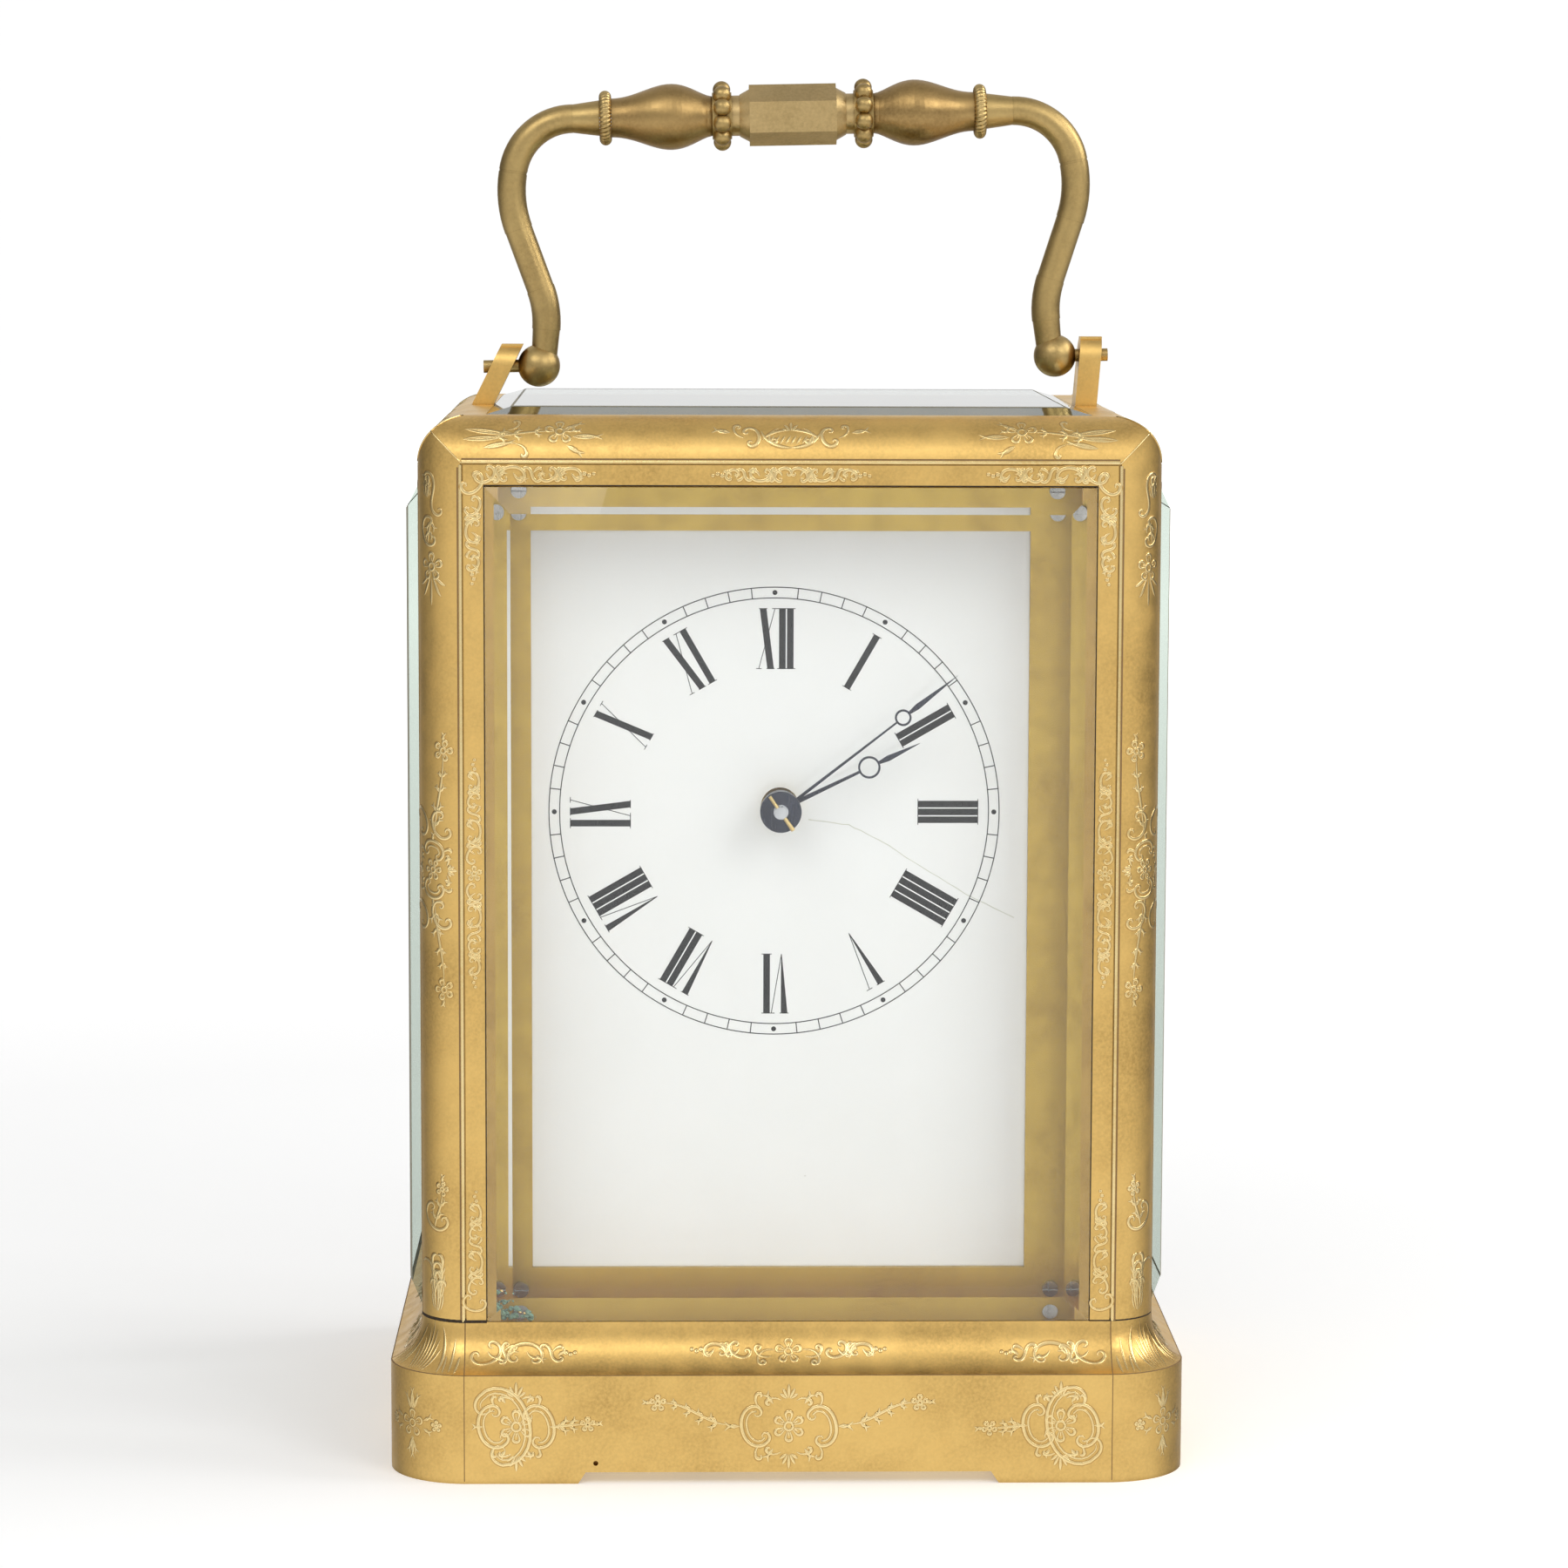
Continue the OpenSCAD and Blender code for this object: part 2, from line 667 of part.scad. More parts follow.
module barrel_arbor() {
  sq = 2.3;
  color(steel) translate([barrel_p[0], 0, barrel_p[1]]) {
    bar_y([0, 0], front_in + shake, back_in - shake, 1.8);
    bar_y([0, 0], -5.6, 11.6, 3.1);
    bar_y([0, 0], front_y - 0.1, back_y + 1.3, 1.2);
    translate([-sq / 2, back_y + 1.2, -sq / 2]) cube([sq, 7.2, sq]);
  }
}

module ratchet_wheel() {
  n = 22;
  r0 = 5.0;
  r1 = 5.9;
  color(steel) translate([barrel_p[0], 0, barrel_p[1]]) difference() {
    between_y(back_y + 0.15, back_y + 1.2)
      polygon([for (i = [0:n - 1], k = [0, 1]) (k == 0 ? r0 : r1)
        * [cos((i + k * 0.85) * 360 / n), sin((i + k * 0.85) * 360 / n)]]);
    bar_y([0, 0], back_y - 1, back_y + 2, 1.2);
  }
}

click_p = barrel_p + [10.4, 2];

module click() {
  color(steel) difference() {
    translate([click_p[0], 0, click_p[1]]) between_y(back_y + 0.15, back_y + 1.1) {
      circle(r = 1.5);
      rotate(208) polygon([[0, -1.2], [4.35, 0.1], [4.3, 0.5], [0, 1.3]]);
    }
    bar_y(click_p, back_y - 1, back_y + 3, 0.6 + RUN);
  }
}

module click_spring() {
  color(steel) translate([click_p[0], 0, click_p[1]]) {
    between_y(back_y + EPS, back_y + 1.0) {
      translate([-2.2, 3.6]) square([0.35, 7.4]);
      translate([-2.2, 10.2]) square([3.4, 2.2]);
    }
    bar_y([0.4, 11.3], back_y + 0.9, back_y + 1.6, 0.9);
    // the click turns on this shouldered post
    bar_y([0, 0], back_y + EPS, back_y + 1.3, 0.6);
    bar_y([0, 0], back_y + 1.2, back_y + 1.7, 1.1);
  }
}

// ---------- plates ----------

pivots = [[centre_p, pivot_r], [inter_p, pivot_r], [third_p, pivot_r], [contrate_p, pivot_r],
  [barrel_p, 1.2]];

module plate_blank(y0, y1) {
  difference() {
    translate([arbor_x - plate_half, y0, floor_z + EPS])
      cube([2 * plate_half, y1 - y0, plate_top - floor_z - EPS]);
    for (v = pivots) bar_y(v[0], y0 - 1, y1 + 1, v[1] + RUN);
    for (p = pillar_places) bar_y(p, y0 - 1, y1 + 1, 1);
  }
}

module front_plate() {
  color(brass) {
    difference() {
      plate_blank(front_y, front_in);
      bar_y(centre_p, front_y - 1, front_in + 1, 0.75 + RUN);
      for (p = [[-22, 30], [22, 30], [0, 108]])
        bar_y([arbor_x + p[0], p[1] - 6], front_y - 1, front_in + 1, 0.8);
    }
    bar_y(minute_p, -19, front_y + 0.5, post_r);
    bar_y(minute_p, -15.2, front_y + 0.5, 1.1);
  }
}

module back_plate() {
  color(brass) difference() {
    plate_blank(back_in, back_y);
    bar_y(centre_p, back_in - 1, back_y + 1, 0.71 + RUN);
    translate([arbor_x - 8, back_in - 1, floor_z - 1]) cube([16, 5, 6]);
  }
}

module plate_pillars() {
  color(brass) for (i = [0:3]) difference() {
    union() {
      bar_y(pillar_places[i], front_in, back_in, 2.1);
      bar_y(pillar_places[i], front_in, front_in + 2, 2.8);
      bar_y(pillar_places[i], back_in - 2, back_in, 2.8);
    }
    bar_y(pillar_places[i], front_in - 1, front_in + 4, 1);
    bar_y(pillar_places[i], back_in - 4, back_in + 1, 1);
    if (i < 2) bar_z([sign(pillar_places[i][0]) * 24, 2], 10, 20, 1.1);
  }
}

// One slotted screw along Y: its head stands out from face y towards s
module plate_screw(p, y, s, head, shank, l) {
  difference() {
    union() {
      bar_y(p, min(y, y + s * 1.1), max(y, y + s * 1.1), head);
      bar_y(p, min(y - s * l, y), max(y - s * l, y), shank);
    }
    translate([p[0] - 4, y + s * 1.0 - 0.3, p[1] - 0.2]) cube([8, 0.6, 0.4]);
  }
}

module pillar_screws() {
  color(steel) for (p = pillar_places) {
    plate_screw(p, front_y, -1, 2, 1, plate_t + 3.5);
    plate_screw(p, back_y, 1, 2, 1, plate_t + 3.5);
  }
}

module seat_screws() {
  color(steel) for (s = [-1, 1]) difference() {
    union() {
      bar_z([s * 24, 2], 11.5, floor_z - floor_t, 2.1);
      bar_z([s * 24, 2], 11.6, 19, 1.1);
    }
    translate([s * 24 - 3, 1.8, 11]) cube([6, 0.4, 1]);
  }
}

// ---------- platform escapement ----------

module platform() {
  color(gilt) difference() {
    translate([arbor_x - 15, front_y, plate_top]) cube([30, back_y - front_y, platform_t]);
    bar_z(escape_xy, 100, 110, 1.0);
    bar_z(lever_xy, 100, 110, 0.25 + RUN);
    bar_z(balance_xy, 100, 110, 0.25 + RUN);
    for (x = [-12.5, 12.5], y = [front_y + 1.1, back_y - 1.1]) bar_z([arbor_x + x, y], 100, 110, 0.6);
  }
}

module platform_screws() {
  color(steel) for (x = [-12.5, 12.5], y = [front_y + 1.1, back_y - 1.1]) difference() {
    union() {
      bar_z([arbor_x + x, y], platform_top, platform_top + 0.8, 1.05);
      bar_z([arbor_x + x, y], plate_top + EPS, platform_top + 0.1, 0.6);
    }
    translate([arbor_x + x - 2, y - 0.15, platform_top + 0.45]) cube([4, 0.3, 1]);
  }
}

// The potence hangs below the platform and holds the escape arbor's lower pivot
module escape_potence() {
  x = escape_xy[0];
  color(brass) difference() {
    union() {
      translate([x - 1.6, -9, potence_z]) cube([3.2, 2, plate_top - potence_z]);
      translate([x - 1.6, -9, potence_z]) cube([3.2, 6.2, 1.2]);
      translate([x - 1.6, -12, plate_top - 1.2]) cube([3.2, 5, 1.2]);
    }
    bar_z(escape_xy, potence_z - 1, potence_z + 2, 0.25 + RUN);
  }
}

module escape_arbor() {
  pinion_phase = 90 + 180 / escape_pn;
  color(steel) {
    bar_z(escape_xy, potence_z + 0.2, potence_z + 1.5, 0.25);
    bar_z(escape_xy, potence_z + 1.4, 107.6, 0.42);
    bar_z(escape_xy, 107.5, 108.6, 0.25);
    translate([escape_xy[0], escape_xy[1], contrate_p[1] + crown_r - 1.5]) linear_extrude(3)
      gear_outline(escape_pn, contrate_m, pinion_phase, 0.70, 1.35, 0.40, 0.16);
  }
}

module escape_wheel() {
  step = 360 / escape_n;
  tooth = [[2.55, 0], [3.4, 0.02], [3.3, 0.2], [2.75, 0.42], [2.55, 0.75]];
  color(steel) translate([escape_xy[0], escape_xy[1], 106.6]) difference() {
    linear_extrude(0.6) difference() {
      polygon([for (i = [0:escape_n - 1], c = tooth)
        c[0] * [cos((i + c[1]) * step), sin((i + c[1]) * step)]]);
      difference() {
        circle(r = 2.0);
        circle(r = 0.95);
        for (i = [0:3]) rotate(i * 90) translate([0, -0.25]) square([3, 0.5]);
      }
    }
    bar_z([0, 0], -1, 2, 0.42);
  }
}

module pallet_lever() {
  x = lever_xy[0];
  y = lever_xy[1];
  pallet = [2.15, -1.35];
  color(steel) {
    bar_z(lever_xy, 104.4, 108.6, 0.25);
    bar_z(lever_xy, 105.6, 107.8, 0.4);
    translate([x, y, 106.6]) linear_extrude(0.7) {
      circle(r = 0.8);
      for (s = [-1, 1]) polygon([[0, 0.5], [s * pallet[0] + s * 0.5, pallet[1] + 0.3],
        [s * pallet[0], pallet[1] - 0.1],
                                 [s * (pallet[0] - 0.5), pallet[1] + 0.45], [0, -0.5]]);
      // fork: shank and two horns
      translate([-0.25, 0]) square([0.5, 4.6]);
      for (s = [-1, 1]) polygon([[0, 4.2], [s * 0.75, 4.9], [s * 0.65, 5.5], [s * 0.3, 5.45],
        [s * 0.3, 4.9], [0, 4.7]]);
    }
  }
}

module balance_wheel() {
  color(brass) translate([balance_xy[0], balance_xy[1], 109.3]) difference() {
    union() {
      difference() {
        cylinder(h = 1, r = balance_r);
        translate([0, 0, -1]) cylinder(h = 3, r = balance_r - 0.9);
      }
      translate([-balance_r + 0.4, -0.5, 0.1]) cube([2 * balance_r - 0.8, 1, 0.6]);
      translate([0, 0, 0.1]) cylinder(h = 0.7, r = 1.1);
      for (i = [0:11]) rotate(15 + i * 30) translate([balance_r - 0.2, 0, 0.5])
        rotate([0, 90, 0]) cylinder(h = 0.75, r = 0.33);
    }
    translate([0, 0, -1]) cylinder(h = 3, r = 0.45);
  }
}

module balance_staff() {
  color(steel) {
    bar_z(balance_xy, 104.3, 105.8, 0.25);
    bar_z(balance_xy, 105.7, 112.9, 0.45);
    bar_z(balance_xy, 112.8, 114.6, 0.25);
    // roller with its impulse pin, and the hairspring collet
    bar_z(balance_xy, 107.75, 108.3, 1.5);
    bar_z(balance_xy + [0, -1.1], 106.5, 107.9, 0.2);
    bar_z(balance_xy, 111.2, 111.9, 0.85);
  }
}

module hairspring() {
  turns = 7;
  steps = 20;
  strip = 0.13;
  function radius(t) = 0.85 + 2.55 * t / turns;
  function along(off) = [for (i = [0:turns * steps]) (radius(i / steps) + off)
    * [cos(i * 360 / steps), sin(i * 360 / steps)]];
  outer = along(strip);
  color(blued) translate([balance_xy[0], balance_xy[1], 111.4]) linear_extrude(0.3)
    polygon(concat(along(0), [for (i = [len(outer) - 1:-1:0]) outer[i]]));
}

module balance_cock() {
  foot_y = balance_xy[1] + balance_r + 1.1;
  color(gilt) difference() {
    union() {
      translate([balance_xy[0] - 4, foot_y, platform_top]) cube([8, back_y - foot_y, 8]);
      translate([balance_xy[0], balance_xy[1], 113.3]) linear_extrude(1.2) {
        circle(r = 2.6);
        polygon([[-1.8, 0], [-4, foot_y - balance_xy[1]], [-4, back_y - balance_xy[1]],
          [4, back_y - balance_xy[1]],
                 [4, foot_y - balance_xy[1]], [1.8, 0]]);
      }
      // stud that holds the hairspring's outer end
      bar_z(balance_xy + [3.75, 0], 111.2, 113.4, 0.3);
      translate([balance_xy[0], balance_xy[1] - 0.5, 113.3]) cube([4.2, 1, 0.8]);
    }
    bar_z(balance_xy, 112, 116, 0.25 + RUN);
  }
}

module regulator() {
  color(steel) {
    translate([balance_xy[0], balance_xy[1], 114.52]) difference() {
      union() {
        cylinder(h = 0.4, r = 1.6);
        rotate(-62) translate([0, -0.25, 0]) cube([6.2, 0.5, 0.4]);
      }
      translate([0, 0, -1]) cylinder(h = 3, r = 0.5);
    }
  }
}

module lever_bridge() {
  color(gilt) difference() {
    union() {
      translate([arbor_x - 9, -7, platform_top]) cube([3.4, 6, 3.3]);
      translate([arbor_x + 5.6, -7, platform_top]) cube([3.4, 6, 3.3]);
      translate([arbor_x - 9, -5.5, 107.9]) cube([18, 3, 0.8]);
      translate([arbor_x - 1.4, -4, 107.9]) cube([2.8, 6, 0.8]);
    }
    bar_z(escape_xy, 107, 110, 0.25 + RUN);
    bar_z(lever_xy, 107, 110, 0.25 + RUN);
  }
}

// ---------- handle ----------

// Places children in the handle's own frame: X along the hinge axis, the grip above it
module in_handle() {
  translate([hinge_x, 0, hinge_z]) rotate([0, -hinge_tilt, 0]) children();
}

// A hinge lug: a bar from the case top up to the ball end, with a rounded top
module lug(foot, head, w, top) {
  intersection() {
    translate([0, 3, 0]) rotate([90, 0, 0]) linear_extrude(6)
      polygon([[foot - w / 2, 124.4], [foot + w / 2, 124.4], [foot + w / 2, case_top],
        [head + w / 2, top], [head - w / 2, top],
               [foot - w / 2, case_top]]);
    rotate([90, 0, 90]) translate([0, 0, -60]) linear_extrude(120) {
      translate([0, top - 2.6]) circle(r = 2.6);
      translate([-2.6, case_top]) square([5.2, top - 2.6 - case_top]);
      translate([-1.2, 120]) square([2.4, 20]);
    }
  }
}

module lug_pair() {
  lug(-37.65, -33.95, 2.7, 134.8);
  lug(37.65, 38.35, 2.7, 135.9);
}

module handle_lugs() {
  color(gilt) difference() {
    lug_pair();
    in_handle() rotate([0, 90, 0]) translate([0, 0, -50]) cylinder(h = 100, r = 0.8);
    // the feet end on the flat of the case top
    translate([0, 0, case_top - 50]) cube([200, 200, 100], center = true);
  }
}

module handle_pivots() {
  color(steel) in_handle() {
    translate([-ball_x - 6.9, 0, 0]) rotate([0, 90, 0]) cylinder(h = 6.2, r = 0.8 - EPS / 2);
    translate([ball_x + 0.7, 0, 0]) rotate([0, 90, 0]) cylinder(h = 5.9, r = 0.8 - EPS / 2);
  }
}

lap = 0.2;
arm_r = 1.72;
bend_r = 1.78;

// A straight stretch along +Z that laps into its neighbours, and children at its far end
module straight(l, r1, r2) {
  translate([0, 0, -lap]) cylinder(h = l + 2 * lap, r1 = r1, r2 = r2);
  translate([0, 0, l]) children();
}

// A bend towards +X by a degrees, and children at its far end
module bend(radius, a) {
  translate([radius, 0, 0]) rotate([90, 0, 0]) rotate([0, 0, 180 - a]) rotate_extrude(angle = a)
    translate([radius, 0]) circle(r = bend_r);
  translate([radius * (1 - cos(a)), 0, radius * sin(a)]) rotate([0, a, 0]) children();
}

module bend_back(radius, a) {
  mirror([1, 0, 0]) bend(radius, a) mirror([1, 0, 0]) children();
}

module arm() {
  difference() {
    union() {
      rotate([0, 90, 0]) sphere(r = ball_r);
      translate([-0.6, 0, 0]) rotate([0, -5.5, 0]) straight(4.52, 1.55, arm_r) bend(12, 24.5)
        straight(7.81, arm_r, arm_r) bend_back(14, 29) straight(0.3, arm_r, arm_r) bend_back(7.6, 80)
          straight(3.16, arm_r, 2.2);
    }
    translate([0.3, 0, 0]) rotate([0, 90, 0]) cylinder(h = 10, r = 0.8 + RUN);
  }
}

module handle_arms() {
  color(old_gilt) in_handle() for (s = [0, 1]) mirror([s, 0, 0]) translate([ball_x, 0, 0]) arm();
}

ring_x = 23.3;
bead_x = 8.8;

module along_grip() {
  in_handle() translate([0, 0, grip_h]) for (s = [0, 1]) mirror([s, 0, 0]) rotate([0, 90, 0]) children();
}

module grip_centre() {
  color(old_gilt) in_handle() translate([0, 0, grip_h]) rotate([0, 90, 0]) {
    translate([0, 0, -5.4]) rotate([0, 0, 5]) cylinder(h = 10.8, r = 3.8, $fn = 6);
    translate([0, 0, -7.6]) cylinder(h = 15.2, r = 2.5);
    for (s = [0, 1]) mirror([0, 0, s]) translate([0, 0, 5.3]) cylinder(h = 1.3, r1 = 3.3, r2 = 2.6);
  }
}

// Turned vase on each side of the grip, from the bead ring out to the rope ring
module grip_vases() {
  n = 20;
  z0 = bead_x + 1.2;
  z1 = ring_x - 0.75;
  function swell(t) = 2.45 + 1.65 * pow(sin(180 * pow(t, 0.78)), 2) - 0.05 * t;
  color(old_gilt) along_grip() rotate_extrude()
    polygon(concat([[0, z0]], [for (i = [0:n]) [swell(i / n), z0 + (z1 - z0) * i / n]], [[0, z1]]));
}

module bead_rings() {
  beads = 10;
  color(old_gilt) along_grip() {
    translate([0, 0, bead_x - 1.2]) cylinder(h = 2.4, r = 2.9);
    for (i = [0:beads - 1]) rotate(i * 360 / beads) translate([3.2, 0, bead_x]) sphere(r = 1.1);
  }
}

module rope_rings() {
  color(old_gilt) along_grip() translate([0, 0, ring_x]) rotate_extrude() {
    translate([0, -0.75]) square([2.7, 1.5]);
    translate([2.7, 0]) circle(r = 0.75);
  }
}

plinth();
bottom_plate();
case_frame();
front_glass();
side_glasses();
top_glass();
glass_strips();
dial_mask();
mask_screws();
dial();
front_plate();
back_plate();
plate_pillars();
pillar_screws();
seat_screws();
platform();
platform_screws();
balance_cock();
regulator();
lever_bridge();
escape_potence();
click_spring();
click();
handle_lugs();
handle_pivots();
centre_arbor();
centre_wheel();
cannon_pinion();
minute_hand();
taper_pin();
intermediate_wheel();
intermediate_arbor();
barrel_drum();
barrel_cover();
mainspring();
barrel_arbor();
ratchet_wheel();
third_wheel();
third_arbor();
contrate_wheel();
contrate_arbor();
escape_wheel();
escape_arbor();
pallet_lever();
balance_wheel();
balance_staff();
hairspring();
minute_wheel();
hour_wheel();
hour_hand();
door_frame();
door_glass();
door_pins();
door_knob();
handle_arms();
grip_centre();
grip_vases();
bead_rings();
rope_rings();
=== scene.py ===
"""Carriage clock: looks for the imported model. Shapes are worked out in millimetres, made in metres."""

import json
import random
from functools import partial
from math import asin, atan2, cos, hypot, pi, radians, sin

import bpy
from mathutils import Matrix, Vector


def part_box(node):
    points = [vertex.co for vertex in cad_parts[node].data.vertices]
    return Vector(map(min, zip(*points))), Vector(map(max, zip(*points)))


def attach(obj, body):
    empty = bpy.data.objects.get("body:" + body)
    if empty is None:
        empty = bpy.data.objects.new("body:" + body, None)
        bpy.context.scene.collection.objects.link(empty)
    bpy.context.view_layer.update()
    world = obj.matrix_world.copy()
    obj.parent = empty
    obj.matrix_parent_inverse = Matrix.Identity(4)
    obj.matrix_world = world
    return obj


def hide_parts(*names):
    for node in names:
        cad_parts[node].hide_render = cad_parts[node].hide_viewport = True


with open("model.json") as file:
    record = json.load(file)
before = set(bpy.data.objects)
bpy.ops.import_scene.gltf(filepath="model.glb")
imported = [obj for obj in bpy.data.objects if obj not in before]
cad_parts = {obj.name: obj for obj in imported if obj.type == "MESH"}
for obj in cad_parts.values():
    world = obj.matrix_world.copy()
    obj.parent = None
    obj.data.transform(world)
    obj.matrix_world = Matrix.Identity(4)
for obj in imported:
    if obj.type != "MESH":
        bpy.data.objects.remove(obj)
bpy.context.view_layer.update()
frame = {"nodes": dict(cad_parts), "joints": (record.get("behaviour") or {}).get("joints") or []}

MM = 0.001
NODES = frame["nodes"]
RNG = random.Random(7)


def box_mm(node):
    """Lowest and highest corner of a CAD node in millimetres."""
    low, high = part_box(node)
    return low / MM, high / MM


# ---------- sizes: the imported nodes' own, and those of the design ----------
CASE_LO, CASE_HI = box_mm("case_frame")
HALF_W, HALF_D, CASE_TOP = CASE_HI  # half the width and depth over the posts, and the height
JOINT_Z = CASE_LO.z  # where the posts stand on the base
EDGE_R = 5.4  # quarter round of posts and top moulding
CREASE = 0.6  # the roundings' axes lie this much farther in, which leaves a crease beside each flat
BAND_W = 2.6  # flat band around each window
ROUND_IN = EDGE_R + CREASE  # from an outer face to the axis of its quarter round
ROUND_R = hypot(CREASE, ROUND_IN)
ROUND_START = atan2(CREASE, ROUND_IN)  # where the quarter round leaves the flat
TOP_CREASE = CASE_TOP - EDGE_R
OVERHANG = box_mm("plinth")[1].x - HALF_W
PLINTH_H = 13.2
COVE_H = JOINT_Z - PLINTH_H
COVE_R = (OVERHANG**2 + COVE_H**2) / (2 * OVERHANG)
COVE_LENGTH = COVE_R * asin(COVE_H / COVE_R)
BASE_R = hypot(CREASE, ROUND_IN + OVERHANG)
BASE_START = atan2(CREASE, ROUND_IN + OVERHANG)
CORNER_ARC = BASE_R * (pi / 2 - 2 * BASE_START)  # round the base's corner, from crease to crease
BEVEL_W = 3.1  # bevels of the side glasses and the top glass
SIDE_PROUD = box_mm("side_glasses")[1].x - HALF_W
TOP_PROUD = box_mm("top_glass")[1].z - CASE_TOP
DOOR_CLEAR = 0.3  # the bands at the back keep this much farther from the door that swings past them
DIAL_FACE = box_mm("dial")[0].y
HINGE = {j["name"]: j for j in frame["joints"]}


def joint_place(name):
    """A point on a joint's axis in millimetres."""
    return Vector(HINGE[name]["pos_m"]) / MM


# ---------- small mesh tools ----------


def add_object(name, data):
    made = bpy.data.objects.new(name, data)
    bpy.context.scene.collection.objects.link(made)
    return made


def make_piece(name, verts, faces, material, slot, body="case", smooth=True):
    """A mesh piece from points in millimetres that rides on a CAD body."""
    mesh = bpy.data.meshes.new(name)
    mesh.from_pydata([tuple(c * MM for c in v) for v in verts], [], faces)
    mesh.validate()
    mesh.shade_smooth() if smooth else mesh.shade_flat()
    mesh.materials.append(material)
    piece = add_object(name, mesh)
    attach(piece, body)
    return piece


def add_part(store, verts, faces):
    """Adds points and faces to a (verts, faces) store."""
    start = len(store[0])
    store[0].extend(verts)
    store[1].extend([[i + start for i in f] for f in faces])


def grid_faces(rows, cols, close_rows=False, close_cols=False):
    """Quads over rows x cols points laid out row by row."""
    faces = []
    for i in range(rows if close_rows else rows - 1):
        for j in range(cols if close_cols else cols - 1):
            a, b = i * cols + j, i * cols + (j + 1) % cols
            c, d = (i + 1) % rows * cols + (j + 1) % cols, (i + 1) % rows * cols + j
            faces.append([a, b, c, d])
    return faces


def lathe(profile, place, turn, segments=64):
    """Turns (along, radius) pairs around the Z axis, then lays them at place with a rotation."""
    verts = []
    for along, radius in profile:
        for k in range(segments):
            a = 2 * pi * k / segments
            p = Vector((radius * cos(a), radius * sin(a), along))
            verts.append(place + turn @ p)
    return verts, grid_faces(len(profile), segments, close_cols=True)


def sweep(points, radii, sides=24):
    """A round tube along 3-D points, closed at both ends."""
    verts, rows = [], len(points)
    side = Vector((0, 1, 0))
    for i, p in enumerate(points):
        ahead = (points[min(i + 1, rows - 1)] - points[max(i - 1, 0)]).normalized()
        side = (side - ahead * side.dot(ahead)).normalized()
        up = ahead.cross(side)
        for k in range(sides):
            a = 2 * pi * k / sides
            verts.append(p + (side * cos(a) + up * sin(a)) * radii[i])
    faces = grid_faces(rows, sides, close_cols=True)
    faces.append(list(range(sides))[::-1])
    faces.append([(rows - 1) * sides + k for k in range(sides)])
    return verts, faces


# ---------- materials ----------


class Nodes:
    """A node tree and short ways to add to it."""

    def __init__(self, tree):
        self.tree = tree

    def link(self, out, into):
        self.tree.links.new(out, into)

    def put(self, value, socket):
        """Links an output to a socket, or writes a number or a colour into it."""
        if isinstance(value, bpy.types.NodeSocket):
            self.link(value, socket)
        else:
            socket.default_value = (*value, 1) if isinstance(value, tuple) else value

    def node(self, kind, **values):
        made = self.tree.nodes.new("ShaderNode" + kind)
        for key, value in values.items():
            made.inputs[key.replace("_", " ")].default_value = value
        return made

    def ramp(self, fac, stops):
        """A colour ramp with (place, colour) stops."""
        made = self.node("ValToRGB")
        elements = made.color_ramp.elements
        while len(elements) < len(stops):
            elements.new(0.5)
        for element, (place, color) in zip(elements, stops):
            element.position = place
            element.color = (*color, 1)
        self.link(fac, made.inputs["Fac"])
        return made.outputs["Color"]

    def spread(self, fac, low, high, start=0.3, end=0.7, smooth=False):
        """Maps a value from start..end to low..high."""
        made = self.node("MapRange", From_Min=start, From_Max=end, To_Min=low, To_Max=high)
        made.interpolation_type = "SMOOTHSTEP" if smooth else "LINEAR"
        self.link(fac, made.inputs["Value"])
        return made.outputs["Result"]

    def mix(self, fac, a, b, mode="MIX"):
        """Mixes two colours; each is an output or a plain colour."""
        made = self.node("Mix")
        made.data_type = "RGBA"
        made.blend_type = mode
        for value, socket in ((fac, made.inputs[0]), (a, made.inputs[6]), (b, made.inputs[7])):
            self.put(value, socket)
        return made.outputs[2]

    def math(self, kind, a, b):
        made = self.node("Math")
        made.operation = kind
        for value, socket in zip((a, b), made.inputs):
            self.put(value, socket)
        return made.outputs[0]

    def vector(self, kind, value):
        """A vector operation with one input."""
        made = self.node("VectorMath")
        made.operation = kind
        self.link(value, made.inputs[0])
        return made


